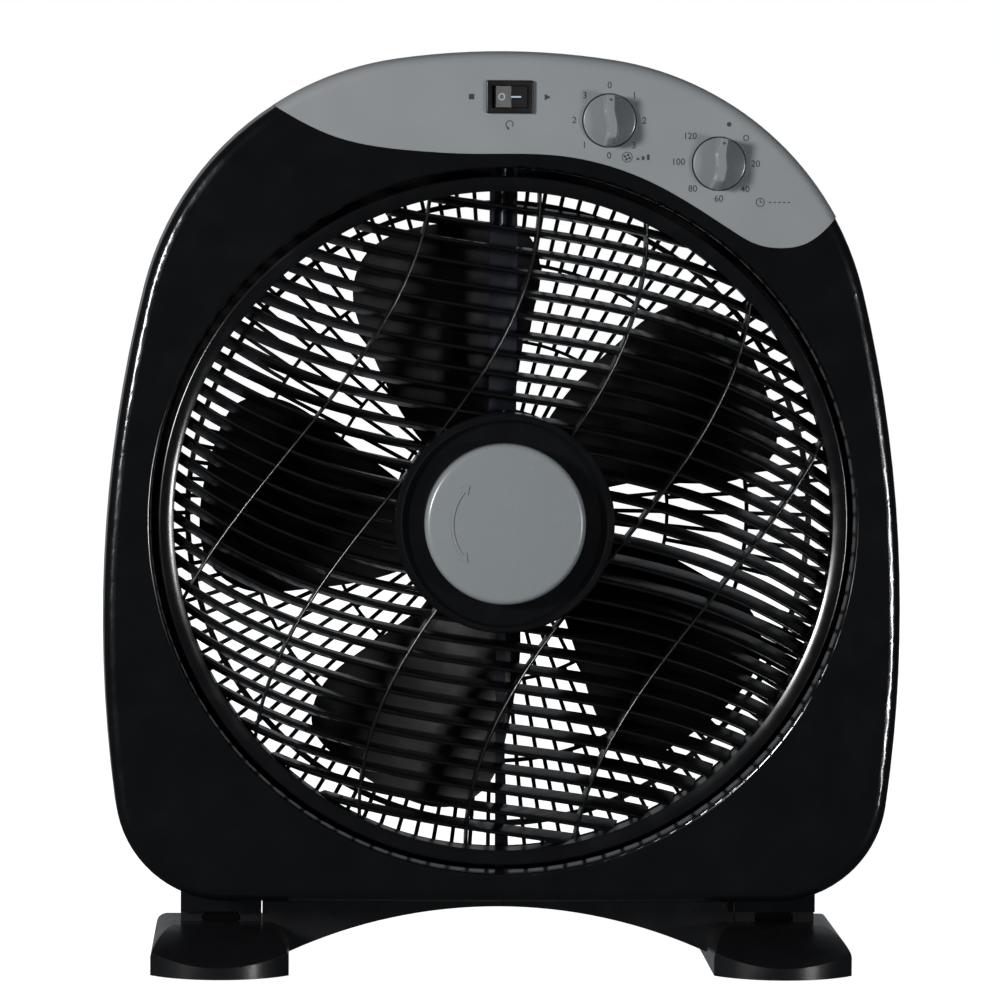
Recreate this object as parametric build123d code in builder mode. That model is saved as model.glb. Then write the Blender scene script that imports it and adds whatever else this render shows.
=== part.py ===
from build123d import *
from math import cos, radians, sin, sqrt, tan
import os

# Box fan with a turning louvre wheel, a front control panel and a tilting stand.
# Millimetres. +X is right and -Y is forward, towards the person in front of the fan. +Z is up.
# The origin is on the floor, midway between the feet. "Forward" sizes are distances along -Y.

# ---- driving dimensions: case ----
case_half_width = 189.0
case_top_z = 435.0
case_bottom_z = 33.0
case_widest_z = 167.0
crown_radius = 347.0
side_radius = 650.0
shoulder_radius = 144.0
corner_radius = 54.0
case_draft = 3.0
case_wall = 2.5
front_forward = 52.0
parting_forward = 16.0
rear_forward = -28.0
front_edge_radius = 5.5
rear_edge_radius = 4.5

# ---- driving dimensions: hub axis, louvre wheel and openings ----
hub_z = 214.0
wheel_radius = 162.0
wheel_gap = 3.8
opening_edge_radius = 1.5
panel_margin = 7.5
collar_wall = 2.2
collar_depth = 16.0
window_radius = 155.0
wheel_recess = 1.0
cone_depth = 16.0
cone_wall = 2.0
ring_crown_radius = 11.8
ring_edge_radius = 1.0
ring_edge_depth = 5.0
slat_pitch = 9.85
slat_width = 2.0
slat_depth = 18.0
slat_rows = 15
slat_slope = 0.15
slat_curl = 0.183
slat_curl_span = 150.0
rib_offset = 53.0
rib_width = 1.1
rib_turn = 18.0
rib_slope = 0.378
rib_curl = 0.165
rib_curl_span = 126.0
dome_rise = 14.0
hub_ring_radius = 51.5
hub_ring_wall = 3.5
hub_web = 2.5
hub_web_recess = 4.0
boss_radius = 9.0
boss_length = 12.0
cap_radius = 37.6
cap_forward = 72.0
cap_wall = 2.2
cap_skirt = 11.5
cap_crown = 1.6
cap_edge = 3.0
cap_socket_wall = 3.0

# ---- driving dimensions: louvre motor and bracket ----
louvre_motor_radius = 25.0
louvre_motor_depth = 15.0
louvre_shaft_radius = 3.0
louvre_ear_length = 7.0
plate_radius = 46.0
plate_forward = 24.0
plate_thickness = 4.0
pedestal_height = 14.0
pedestal_wall = 7.0
arm_forward = 23.0
arm_thickness = 6.0
top_arm_width = 13.0
bottom_arm_width = 4.3
channel_wall = 2.0
channel_floor = 2.0
tab_width = 34.0
tab_length = 9.0
tab_screw_offset = 12.0
cover_thickness = 1.4
wire_radius = 1.8
terminal_width = 28.0
terminal_height = 12.0
terminal_depth = 10.0

# ---- driving dimensions: fan motor ----
motor_radius = 41.0
motor_wall = 2.5
front_cap_depth = 9.0
stack_length = 15.0
rear_cap_depth = 8.0
rotor_radius = 20.0
air_gap = 0.6
shaft_radius = 4.0
bush_radius = 8.0
bush_length = 7.0
bearing_hub_radius = 11.0
coil_slots = 12
coil_slot_width = 4.0
coil_inner_radius = 24.0
coil_outer_radius = 31.0
coil_end_length = 5.0
bolt_circle_radius = 36.0
bolt_radius = 1.8
bolt_count = 4
bolt_boss_radius = 3.2

# ---- driving dimensions: fan blade ----
blade_count = 5
blade_first_angle = 30.5
blade_thickness = 2.0
blade_mid_forward = -1.0
blade_camber = 0.05
blade_tip_slope = 0.12
blade_root_lead = 18.0
blade_tip_radius = 143.5
blade_cup_radius = 46.0
blade_cup_wall = 2.5
blade_cup_forward = 11.0
blade_cup_rear = -18.5
blade_boss_radius = 9.0
blade_boss_rear = -26.0
drive_pin_radius = 1.25
drive_pin_length = 16.0
nut_radius = 13.0
nut_depth = 11.0

# ---- driving dimensions: rear guard ----
guard_skirt_wall = 2.2
guard_flange_radius = 171.0
guard_flange_thickness = 2.0
guard_rim_forward = -5.0
guard_centre_forward = -50.0
guard_thickness = 2.4
guard_band_width = 4.5
rear_opening_radius = 167.0
guard_ring_radii = (149.5, 120.7, 82.9, 49.0)
guard_ring_widths = (2.6, 1.8, 1.6, 1.6)
guard_spoke_counts = (114, 76, 57)
guard_spoke_width = 1.9
guard_boss_radius = 34.0
guard_screw_angle = 45.0
guard_screw_circle = 176.0
guard_ear_radius = 6.5

# ---- driving dimensions: control panel and switches ----
panel_depth = 22.0
panel_skin = 2.2
panel_proud = 0.6
panel_gap = 0.25
rocker_x = 1.3
rocker_z = 413.0
speed_x = 48.0
speed_z = 402.3
timer_x = 99.5
timer_z = 382.5
knob_radius = 12.2
knob_gap = 0.6
knob_disc = 4.6
knob_grip_height = 10.0
knob_grip_width = 6.4
dial_cup_wall = 2.2
dial_cup_floor = 1.6
dial_cup_depth = 5.5
dial_shaft_radius = 3.0
speed_body_side = 28.0
speed_body_depth = 18.0
timer_body_radius = 17.0
timer_body_depth = 24.0
shaft_entry = 8.0
bezel_width = 22.0
bezel_height = 15.5
bezel_thickness = 2.0
rocker_body_width = 19.0
rocker_body_height = 13.0
rocker_body_depth = 22.0
rocker_half_length = 7.4
rocker_half_height = 4.9
rocker_rest_angle = 9.0
rocker_pivot_depth = 3.0
rocker_stub_radius = 1.2
capacitor_size = (38.0, 12.0, 20.0)
capacitor_x = -96.0
capacitor_z = 378.0

# ---- driving dimensions: stand ----
foot_centre_x = 132.5
foot_half_width = 32.5
foot_half_length = 75.0
foot_nose = 16.0
foot_rim_z = 1.0
foot_lip_z = 6.5
foot_top_z = 19.7
foot_wall = 2.5
pivot_z = 25.0
knuckle_radius = 7.5
knuckle_clearance = 0.7
ear_width = 10.0
tongue_half_width = 8.3
washer_thickness = 0.8
pivot_pin_radius = 2.45
lug_half_depth = 13.0
bridge_half_depth = 9.0
bridge_top_z = 30.0
bridge_arch_radius = 240.0
bridge_arch_z = 27.1
bridge_wall = 2.5
pad_radius = 7.0
pad_thickness = 3.0
pad_offset_y = 50.0

# ---- driving dimensions: fasteners and fits ----
screw_radius = 1.8
screw_head_radius = 3.6
screw_head_height = 2.4
screw_hole_clearance = 0.3
front_boss_radius = 4.0
rear_boss_radius = 6.5
running_clearance = 0.05
side_clearance = 0.5
seat_clearance = 0.3

# ---- planes and axes ----
hub_plane = Plane(origin=(0, 0, hub_z), x_dir=(1, 0, 0), z_dir=(0, -1, 0))
hub_section = Plane(origin=(0, 0, hub_z), x_dir=(1, 0, 0), z_dir=(0, 0, -1))
hub_axis = Axis((0, 0, hub_z), (0, 1, 0))
opening_radius = wheel_radius + wheel_gap
case_screw_points = [(142.0, 338.0), (74.0, 410.0), (152.0, 75.0)]
case_screw_points += [(-x, z) for x, z in case_screw_points]


def front_plane(forward):
    """Upright plane at a forward distance: local x is +X, local y is +Z, its normal is forward."""
    return Plane.XZ.offset(forward)


def dish_radius(rim_radius, depth):
    """Radius of the sphere that a dish of this rim radius and depth is part of."""
    return (rim_radius**2 + depth**2) / (2 * depth)


# ---- case form ----
def draw_case_outline(inset):
    """Outline of the case in the current sketch, moved inwards by inset: four tangent arcs and a flat base."""
    side_x = case_half_width - side_radius
    with Locations((0, case_top_z - crown_radius)):
        Circle(crown_radius - inset)
    with Locations((side_x, case_widest_z)):
        Circle(side_radius - inset, mode=Mode.INTERSECT)
    with Locations((-side_x, case_widest_z)):
        Circle(side_radius - inset, mode=Mode.INTERSECT)
    with Locations((0, case_bottom_z + inset)):
        Rectangle(2 * side_radius, 2 * side_radius, align=(Align.CENTER, Align.MIN), mode=Mode.INTERSECT)
    fillet(vertices().group_by(Axis.Y)[0], corner_radius - inset)
    fillet(vertices().filter_by(lambda corner: abs(corner.X) > case_half_width / 2).sort_by(Axis.Y)[-2:],
           shoulder_radius - inset)


def case_form(inset, far_forward, edge_radius):
    """Solid of the case outline from the parting plane to far_forward, drafted, with a round far edge."""
    depth = far_forward - parting_forward
    far_inset = inset + abs(depth) * tan(radians(case_draft))
    with BuildPart() as form:
        with BuildSketch(front_plane(parting_forward)):
            draw_case_outline(inset)
        with BuildSketch(front_plane(far_forward)):
            draw_case_outline(far_inset)
        loft(ruled=True)
        far_face = form.faces().sort_by(Axis.Y)[0 if depth > 0 else -1]
        fillet(far_face.edges(), edge_radius)
    return form.part


# ---- control panel region: everything above its sweeping lower edge ----
def panel_edge_points():
    """Lower edge of the control panel, left corner to right corner, in X and Z."""
    arc_radius = opening_radius + panel_margin
    arc_start = 96.5
    arc_end = 52.0
    left_sweep = [(-118.0, 414.0), (-107.7, 407.5), (-80.0, 393.7), (-60.2, 389.2), (-40.0, 387.2)]
    arc = []
    for step in range(4):
        angle = radians(arc_start + (arc_end - arc_start) * step / 3)
        arc.append((arc_radius * cos(angle), hub_z + arc_radius * sin(angle)))
    right_sweep = [(118.0, 344.6), (128.6, 343.0), (139.2, 344.6), (154.6, 357.2), (166.0, 371.0)]
    return left_sweep + arc + right_sweep


def panel_region(drop):
    """Prism over the panel area from panel_depth to past the front, its lower edge moved down by drop."""
    top_z = case_top_z + case_half_width
    with BuildPart() as region:
        with BuildSketch(front_plane(front_forward - panel_depth - drop)):
            with BuildLine():
                edge = Spline(*[(x, z - drop) for x, z in panel_edge_points()])
                left_z = (edge @ 0).Y
                right_z = (edge @ 1).Y
                Polyline(edge @ 1, (case_half_width * 2, right_z), (case_half_width * 2, top_z),
                         (-case_half_width * 2, top_z), (-case_half_width * 2, left_z), edge @ 0)
            make_face()
        extrude(amount=panel_depth + drop + 2 * front_edge_radius)
    return region.part


front_solid = case_form(0, front_forward, front_edge_radius)
front_cavity = case_form(case_wall, front_forward - case_wall, front_edge_radius - case_wall)
deck_solid = case_form(panel_skin, front_forward - panel_skin, front_edge_radius - panel_skin)
deck_inset = panel_skin + case_wall
deck_cavity = case_form(deck_inset, front_forward - deck_inset, front_edge_radius - deck_inset)
panel_outside = case_form(-panel_proud, front_forward + panel_proud, front_edge_radius)
rear_solid = case_form(0, rear_forward, rear_edge_radius)
rear_cavity = case_form(case_wall, rear_forward + case_wall, rear_edge_radius - case_wall)

deck_forward = front_forward - deck_inset
dial_hole_radius = knob_radius + knob_gap
dial_cup_radius = dial_hole_radius + dial_cup_wall
dial_points = [(speed_x, speed_z), (timer_x, timer_z)]
panel_screw_points = [(-84.0, 405.0), (-30.0, 400.0), (22.0, 421.0), (129.0, 363.0)]
panel_screw_boss = 3.0
tab_screw_z = opening_radius + collar_wall + 4.2
tab_screw_points = [(side * tab_screw_offset, hub_z + level * tab_screw_z) for side in (-1, 1) for level in (-1, 1)]

# ---- front shell ----
with BuildPart() as front_shell:
    add(front_solid)
    add(front_cavity, mode=Mode.SUBTRACT)
    add(panel_region(0), mode=Mode.SUBTRACT)
    deck = (deck_solid - deck_cavity) & panel_region(case_wall)
    add(deck)
    with BuildSketch(front_plane(front_forward - collar_depth)):
        with Locations((0, hub_z)):
            Circle(opening_radius + collar_wall)
    extrude(amount=collar_depth - deck_inset)
    with BuildSketch(front_plane(parting_forward)):
        with Locations(*case_screw_points):
            Circle(front_boss_radius)
    extrude(amount=front_forward - case_wall - parting_forward)
    with BuildSketch(front_plane(arm_forward)):
        with Locations(*tab_screw_points):
            Circle(front_boss_radius)
    extrude(amount=front_forward - case_wall - arm_forward)
    with BuildSketch(front_plane(parting_forward)):
        with Locations((0, hub_z)):
            Circle(opening_radius)
    extrude(amount=front_forward, mode=Mode.SUBTRACT)
    opening_edges = edges().filter_by(GeomType.CIRCLE).filter_by(lambda edge: abs(edge.radius - opening_radius) < 0.01)
    fillet(opening_edges.sort_by(Axis.Y)[0], opening_edge_radius)
    with BuildSketch(front_plane(parting_forward)):
        with Locations(*case_screw_points):
            Circle(screw_radius + running_clearance)
    extrude(amount=deck_forward - parting_forward - case_wall, mode=Mode.SUBTRACT)
    with BuildSketch(front_plane(arm_forward)):
        with Locations(*tab_screw_points):
            Circle(screw_radius + running_clearance)
    extrude(amount=deck_forward - arm_forward - case_wall, mode=Mode.SUBTRACT)
    with BuildSketch(front_plane(deck_forward - case_wall)):
        with Locations(*dial_points):
            Circle(dial_cup_radius + seat_clearance)
        with Locations((rocker_x, rocker_z)):
            Rectangle(rocker_body_width + 2 * seat_clearance, rocker_body_height + 2 * seat_clearance)
        with Locations(*panel_screw_points):
            Circle(panel_screw_boss + seat_clearance)
    extrude(amount=front_forward, mode=Mode.SUBTRACT)
front_shell.part.label = "front_shell"

# ---- rear shell: back half of the case, with the grip, the screw posts and the pivot lugs ----
grip_width = 100.0
grip_height = 22.0
grip_depth = 18.0
grip_wall = 2.0
grip_z = 405.0
grommet_x = 128.0
grommet_z = 58.0
grommet_radius = 5.0
counterbore_end = 2.0
lug_half_width = tongue_half_width + washer_thickness + 2 * running_clearance + ear_width
ear_inner = tongue_half_width + washer_thickness + 2 * running_clearance
corner_centre_x = case_half_width - side_radius + sqrt(
    (side_radius - corner_radius) ** 2 - (case_widest_z - case_bottom_z - corner_radius) ** 2)
corner_reach = foot_centre_x + lug_half_width - corner_centre_x
corner_rise = corner_radius - sqrt(corner_radius**2 - corner_reach**2)
lug_top_z = case_bottom_z + corner_rise + 2 * case_wall
lug_sides = (-foot_centre_x, foot_centre_x)

with BuildPart() as rear_shell:
    add(rear_solid)
    add(rear_cavity, mode=Mode.SUBTRACT)
    with BuildSketch(front_plane(rear_forward + case_wall)):
        with Locations((0, grip_z)):
            RectangleRounded(grip_width + 2 * grip_wall, grip_height + 2 * grip_wall, grip_height / 2)
    extrude(amount=grip_depth)
    with BuildSketch(front_plane(rear_forward + case_wall)):
        with Locations(*case_screw_points):
            Circle(rear_boss_radius)
    extrude(amount=parting_forward - rear_forward - case_wall)
    with Locations(*[(x, 0, pivot_z) for x in lug_sides]):
        Box(2 * lug_half_width, 2 * lug_half_depth, lug_top_z - pivot_z,
            align=(Align.CENTER, Align.CENTER, Align.MIN))
    for x in lug_sides:
        for side in (-1, 1):
            start = x + side * tongue_half_width
            with BuildSketch(Plane.YZ.offset(start)):
                with Locations((0, pivot_z)):
                    Circle(knuckle_radius + knuckle_clearance)
            extrude(amount=side * (ear_width + ear_inner), mode=Mode.SUBTRACT)
        with BuildSketch(Plane.YZ.offset(x)):
            with Locations((0, pivot_z)):
                Circle(knuckle_radius)
        extrude(amount=tongue_half_width, both=True)
        with BuildSketch(Plane.YZ.offset(x)):
            with Locations((0, pivot_z)):
                Circle(pivot_pin_radius + running_clearance)
        extrude(amount=lug_half_width, both=True, mode=Mode.SUBTRACT)
    with BuildSketch(front_plane(rear_forward - 1)):
        with Locations((0, hub_z)):
            Circle(rear_opening_radius)
        with Locations((grommet_x, grommet_z)):
            Circle(grommet_radius)
    extrude(amount=case_wall + 2, mode=Mode.SUBTRACT)
    with BuildSketch(front_plane(rear_forward - 1)):
        with Locations((0, grip_z)):
            RectangleRounded(grip_width, grip_height, grip_height / 2 - grip_wall)
    extrude(amount=grip_depth + 1, mode=Mode.SUBTRACT)
    with BuildSketch(front_plane(rear_forward - 1)):
        with Locations(*case_screw_points):
            Circle(screw_head_radius + screw_hole_clearance)
    extrude(amount=counterbore_end - rear_forward + 1, mode=Mode.SUBTRACT)
    with BuildSketch(front_plane(rear_forward)):
        with Locations(*case_screw_points):
            Circle(screw_radius + screw_hole_clearance)
    extrude(amount=parting_forward - rear_forward, mode=Mode.SUBTRACT)
    with BuildSketch(hub_plane.offset(rear_forward - 1)):
        with PolarLocations(guard_screw_circle, 4, guard_screw_angle):
            Circle(screw_radius + running_clearance)
    extrude(amount=case_wall + 2, mode=Mode.SUBTRACT)
rear_shell.part.label = "rear_shell"

# ---- control panel: a thin skin over the deck of the front shell ----
cup_floor_forward = front_forward - dial_cup_depth
with BuildPart() as control_panel:
    skin = (panel_outside - deck_solid) & panel_region(-panel_gap)
    add(skin)
    with BuildSketch(front_plane(cup_floor_forward)):
        with Locations(*dial_points):
            Circle(dial_cup_radius)
    extrude(amount=dial_cup_depth - panel_skin)
    with BuildSketch(front_plane(deck_forward)):
        with Locations(*panel_screw_points):
            Circle(panel_screw_boss)
    extrude(amount=case_wall)
    with BuildSketch(front_plane(cup_floor_forward + dial_cup_floor)):
        with Locations(*dial_points):
            Circle(dial_hole_radius)
    extrude(amount=dial_cup_depth, mode=Mode.SUBTRACT)
    with BuildSketch(front_plane(cup_floor_forward)):
        with Locations(*dial_points):
            Circle(dial_shaft_radius + knob_gap)
    extrude(amount=dial_cup_depth, mode=Mode.SUBTRACT)
    with BuildSketch(front_plane(deck_forward)):
        with Locations((rocker_x, rocker_z)):
            Rectangle(rocker_body_width + 2 * running_clearance, rocker_body_height + 2 * running_clearance)
    extrude(amount=2 * deck_inset, mode=Mode.SUBTRACT)
    with BuildSketch(front_plane(deck_forward)):
        with Locations(*panel_screw_points):
            Circle(screw_radius - 0.6 + running_clearance)
    extrude(amount=case_wall, mode=Mode.SUBTRACT)
control_panel.part.label = "control_panel"

# ---- louvre wheel: ring, slats, ribs and hub in one moulding ----
wheel_front = front_forward - wheel_recess
window_forward = wheel_front - cone_depth
slat_front = window_forward + 7.0
dome_sphere = (window_radius**2 - hub_ring_radius**2) / (2 * dome_rise)
hub_ring_front = slat_front + dome_rise + 6.0
hub_ring_depth = 24.0
web_front = hub_ring_front - hub_web_recess
boss_front = web_front + boss_length - hub_web
louvre_shaft_front = boss_front - 1.0


def crown_point(radius):
    """Point on the ring's rounded front at a distance from the hub line."""
    inward = wheel_radius - ring_edge_radius - radius
    return radius, wheel_front - ring_crown_radius + sqrt(ring_crown_radius**2 - inward**2)


def slat_curve(level):
    """Control points of a slat's falling S-shaped line at a height from the hub: an exact cubic."""
    reach = window_radius + 1
    lean = slat_slope * reach
    curl = slat_curl * reach**3 / slat_curl_span**2
    return [(-reach, level + lean + curl), (-reach / 3, level + lean / 3 - curl),
            (reach / 3, level - lean / 3 + curl), (reach, level - lean - curl)]


def rib_curve(across):
    """Control points of a rib's S-shaped line at a distance across the turned wheel."""
    reach = window_radius + 1
    lean = rib_slope * reach
    curl = rib_curl * reach**3 / rib_curl_span**2
    points = [(across - lean + curl, -reach), (across - lean / 3 - curl, -reach / 3),
              (across + lean / 3 + curl, reach / 3), (across + lean - curl, reach)]
    return [Vector(x, y).rotate(Axis.Z, -rib_turn) for x, y in points]


with BuildPart() as louvre_wheel:
    with BuildSketch(hub_plane):
        for row in range(-slat_rows, slat_rows + 1):
            with BuildLine():
                upper = Bezier(*slat_curve(row * slat_pitch + slat_width / 2))
                lower = Bezier(*slat_curve(row * slat_pitch - slat_width / 2))
                Line(upper @ 0, lower @ 0)
                Line(upper @ 1, lower @ 1)
            make_face()
        for column in range(-2, 3):
            with BuildLine():
                right = Bezier(*rib_curve(column * rib_offset + rib_width / 2))
                left = Bezier(*rib_curve(column * rib_offset - rib_width / 2))
                Line(right @ 0, left @ 0)
                Line(right @ 1, left @ 1)
            make_face()
        Circle(window_radius + cone_wall / 2, mode=Mode.INTERSECT)
        Circle(hub_ring_radius - hub_ring_wall / 2, mode=Mode.SUBTRACT)
    extrude(amount=hub_ring_front)
    with BuildSketch(hub_section):
        with BuildLine():
            rim = (opening_radius, slat_front - (opening_radius**2 - window_radius**2) / (2 * dome_sphere))
            mid = (window_radius / 2, slat_front + (0.75 * window_radius**2) / (2 * dome_sphere))
            crown = (0, slat_front + window_radius**2 / (2 * dome_sphere))
            front_arc = ThreePointArc(rim, mid, crown)
            back_arc = ThreePointArc(*[(x, y - slat_depth) for x, y in (rim, mid, crown)])
            Line(front_arc @ 0, back_arc @ 0)
            Line(front_arc @ 1, back_arc @ 1)
        make_face()
    revolve(axis=hub_axis, mode=Mode.INTERSECT)
    with BuildSketch(hub_section):
        with BuildLine():
            crown = ThreePointArc(crown_point(window_radius), crown_point((window_radius + wheel_radius) / 2),
                                  crown_point(wheel_radius - ring_edge_radius))
            outer_edge = TangentArc(crown @ 1, (wheel_radius, wheel_front - ring_edge_radius), tangent=crown % 1)
            Polyline(outer_edge @ 1, (wheel_radius, wheel_front - ring_edge_depth),
                     (window_radius + cone_wall, window_forward - 2), (window_radius, window_forward - 2), crown @ 0)
        make_face()
        with BuildLine():
            Polyline((hub_ring_radius, hub_ring_front), (hub_ring_radius, hub_ring_front - hub_ring_depth),
                     (hub_ring_radius - hub_ring_wall, hub_ring_front - hub_ring_depth),
                     (hub_ring_radius - hub_ring_wall, web_front - hub_web), (louvre_shaft_radius, web_front - hub_web),
                     (louvre_shaft_radius, boss_front), (boss_radius, boss_front), (boss_radius, web_front),
                     (hub_ring_radius - hub_ring_wall, web_front), (hub_ring_radius - hub_ring_wall, hub_ring_front),
                     close=True)
        make_face()
    revolve(axis=hub_axis)
louvre_wheel.part.label = "louvre_wheel"

# ---- hub cap: screws over the wheel's boss by hand ----
cap_rim = cap_forward - cap_crown - cap_skirt
with BuildPart() as hub_cap:
    with BuildSketch(hub_section):
        with BuildLine():
            crown_arc = ThreePointArc((0, cap_forward), (cap_radius / 2, cap_forward - cap_crown / 4),
                                      (cap_radius, cap_forward - cap_crown))
            Polyline(crown_arc @ 1, (cap_radius, cap_rim), (cap_radius - cap_wall, cap_rim),
                     (cap_radius - cap_wall, cap_forward - cap_crown - cap_wall), (0, cap_forward - cap_crown - cap_wall),
                     crown_arc @ 0)
        make_face()
        with BuildLine():
            inner = boss_radius + running_clearance
            outer = inner + cap_socket_wall
            Polyline((inner, cap_rim), (outer, cap_rim), (outer, cap_forward - cap_crown - cap_wall),
                     (inner, cap_forward - cap_crown - cap_wall), close=True)
        make_face()
    revolve(axis=hub_axis)
    rim_edges = hub_cap.edges().filter_by(GeomType.CIRCLE).filter_by(
        lambda edge: abs(edge.radius - cap_radius) < 0.01).sort_by(Axis.Y)
    fillet(rim_edges[0], cap_edge)
hub_cap.part.label = "hub_cap"

# ---- louvre motor: slow geared motor in the hub, its shaft drives the wheel ----
pedestal_front = plate_forward + pedestal_height
louvre_motor_front = pedestal_front + louvre_motor_depth
ear_reach = louvre_motor_radius + louvre_ear_length
with BuildPart() as louvre_motor:
    with BuildSketch(hub_plane.offset(pedestal_front)):
        Circle(louvre_motor_radius)
        Rectangle(2 * ear_reach, 10)
    extrude(amount=2)
    with BuildSketch(hub_plane.offset(pedestal_front + 2)):
        Circle(louvre_motor_radius)
    extrude(amount=louvre_motor_depth - 4)
    with BuildSketch(hub_plane.offset(louvre_motor_front - 2)):
        Circle(louvre_motor_radius - 1.5)
    extrude(amount=0.8)
    with BuildSketch(hub_plane.offset(louvre_motor_front - 2)):
        Circle(louvre_shaft_radius + 3)
    extrude(amount=2)
    with BuildSketch(hub_plane.offset(louvre_motor_front - 10)):
        Circle(louvre_shaft_radius + running_clearance)
    extrude(amount=11, mode=Mode.SUBTRACT)
    with BuildSketch(hub_plane.offset(pedestal_front)):
        with GridLocations(2 * (ear_reach - 3.2), 0, 2, 1):
            Circle(screw_radius - 0.3 + running_clearance)
    extrude(amount=3, mode=Mode.SUBTRACT)
louvre_motor.part.label = "louvre_motor"

with BuildPart() as louvre_shaft:
    with BuildSketch(hub_plane.offset(louvre_motor_front - 9.5)):
        Circle(louvre_shaft_radius)
    extrude(amount=louvre_shaft_front - louvre_motor_front + 9.5)
louvre_shaft.part.label = "louvre_shaft"

with BuildPart() as louvre_motor_screws:
    with BuildSketch(hub_plane.offset(pedestal_front - 7)):
        with GridLocations(2 * (ear_reach - 3.2), 0, 2, 1):
            Circle(screw_radius - 0.3)
    extrude(amount=9)
    with BuildSketch(hub_plane.offset(pedestal_front + 2)):
        with GridLocations(2 * (ear_reach - 3.2), 0, 2, 1):
            Circle(screw_head_radius - 0.9)
    extrude(amount=screw_head_height - 0.6)
louvre_motor_screws.part.label = "louvre_motor_screws"

# ---- motor bracket: plate behind the hub with one arm up and one arm down ----
arm_rear = arm_forward - arm_thickness
plate_rear = plate_forward - plate_thickness
tab_reach = tab_screw_z + tab_length / 2
terminal_base = tab_screw_z + tab_length / 2 + 1.0
channel_half = top_arm_width / 2 - channel_wall
with BuildPart() as motor_bracket:
    with BuildSketch(hub_plane.offset(plate_rear)):
        Circle(plate_radius)
    extrude(amount=plate_thickness)
    with BuildSketch(hub_plane.offset(plate_forward)):
        Circle(louvre_motor_radius + pedestal_wall)
        Circle(louvre_motor_radius - pedestal_wall, mode=Mode.SUBTRACT)
    extrude(amount=pedestal_height)
    with BuildSketch(hub_plane.offset(arm_rear)):
        with Locations((0, plate_radius - 3)):
            Rectangle(top_arm_width, tab_reach - plate_radius + 3, align=(Align.CENTER, Align.MIN))
        with Locations((0, 3 - plate_radius)):
            Rectangle(bottom_arm_width, tab_reach - plate_radius + 3, align=(Align.CENTER, Align.MAX))
        with GridLocations(0, 2 * tab_screw_z, 1, 2):
            RectangleRounded(tab_width, tab_length, 4)
        with Locations((0, tab_screw_z)):
            Rectangle(terminal_width, terminal_base - tab_screw_z + terminal_height, align=(Align.CENTER, Align.MIN))
    extrude(amount=arm_thickness)
    with BuildSketch(hub_plane.offset(arm_rear + channel_floor)):
        with Locations((0, plate_radius + 2)):
            Rectangle(2 * channel_half, terminal_base + terminal_height, align=(Align.CENTER, Align.MIN))
        with Locations((0, terminal_base)):
            Rectangle(terminal_width, terminal_height + 1, align=(Align.CENTER, Align.MIN))
    extrude(amount=arm_thickness, mode=Mode.SUBTRACT)
    with BuildSketch(hub_plane.offset(arm_rear)):
        with GridLocations(2 * tab_screw_offset, 2 * tab_screw_z, 2, 2):
            Circle(screw_radius + screw_hole_clearance)
    extrude(amount=arm_thickness, mode=Mode.SUBTRACT)
    with BuildSketch(hub_plane.offset(plate_rear)):
        with PolarLocations(bolt_circle_radius, bolt_count, 45):
            Circle(bolt_radius + screw_hole_clearance)
    extrude(amount=plate_thickness, mode=Mode.SUBTRACT)
    with BuildSketch(hub_plane.offset(pedestal_front - 8)):
        with GridLocations(2 * (ear_reach - 3.2), 0, 2, 1):
            Circle(screw_radius - 0.3 + running_clearance)
    extrude(amount=8, mode=Mode.SUBTRACT)
motor_bracket.part.label = "motor_bracket"

with BuildPart() as wire_cover:
    with BuildSketch(hub_plane.offset(arm_forward)):
        with Locations((0, hub_ring_radius)):
            Rectangle(top_arm_width, 88, align=(Align.CENTER, Align.MIN))
    extrude(amount=cover_thickness)
    with BuildSketch(hub_plane.offset(arm_forward - 1.5)):
        with Locations((0, hub_ring_radius)):
            Rectangle(2 * channel_half - 0.4, 88, align=(Align.CENTER, Align.MIN))
            with Locations((0, 0)):
                Rectangle(2 * channel_half - 2.4, 88, align=(Align.CENTER, Align.MIN), mode=Mode.SUBTRACT)
    extrude(amount=1.5)
wire_cover.part.label = "wire_cover"

with BuildPart() as motor_wires:
    with Locations((0, -arm_rear - channel_floor - wire_radius, hub_z + plate_radius + 3)):
        Cylinder(wire_radius, terminal_base - plate_radius - 3, align=(Align.CENTER, Align.CENTER, Align.MIN))
motor_wires.part.label = "motor_wires"

with BuildPart() as terminal_block:
    with BuildSketch(hub_plane.offset(arm_rear + channel_floor)):
        with Locations((0, terminal_base + terminal_height / 2)):
            Rectangle(terminal_width - 2, terminal_height)
    extrude(amount=terminal_depth)
    with BuildSketch(hub_plane.offset(arm_rear + channel_floor + terminal_depth - 5)):
        with Locations((0, terminal_base + terminal_height / 2)):
            with GridLocations(8, 0, 3, 1):
                Circle(2.2)
    extrude(amount=5, mode=Mode.SUBTRACT)
terminal_block.part.label = "terminal_block"

with BuildPart() as bracket_screws:
    with BuildSketch(hub_plane.offset(arm_rear - screw_head_height)):
        with GridLocations(2 * tab_screw_offset, 2 * tab_screw_z, 2, 2):
            Circle(screw_head_radius)
    extrude(amount=screw_head_height)
    with BuildSketch(hub_plane.offset(arm_rear)):
        with GridLocations(2 * tab_screw_offset, 2 * tab_screw_z, 2, 2):
            Circle(screw_radius)
    extrude(amount=arm_thickness + 12)
bracket_screws.part.label = "bracket_screws"

# ---- fan motor: two caps, laminated stack, coils, rotor, shaft and bushes ----
stack_front = plate_rear - front_cap_depth
stack_rear = stack_front - stack_length
motor_rear = stack_rear - rear_cap_depth


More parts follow.
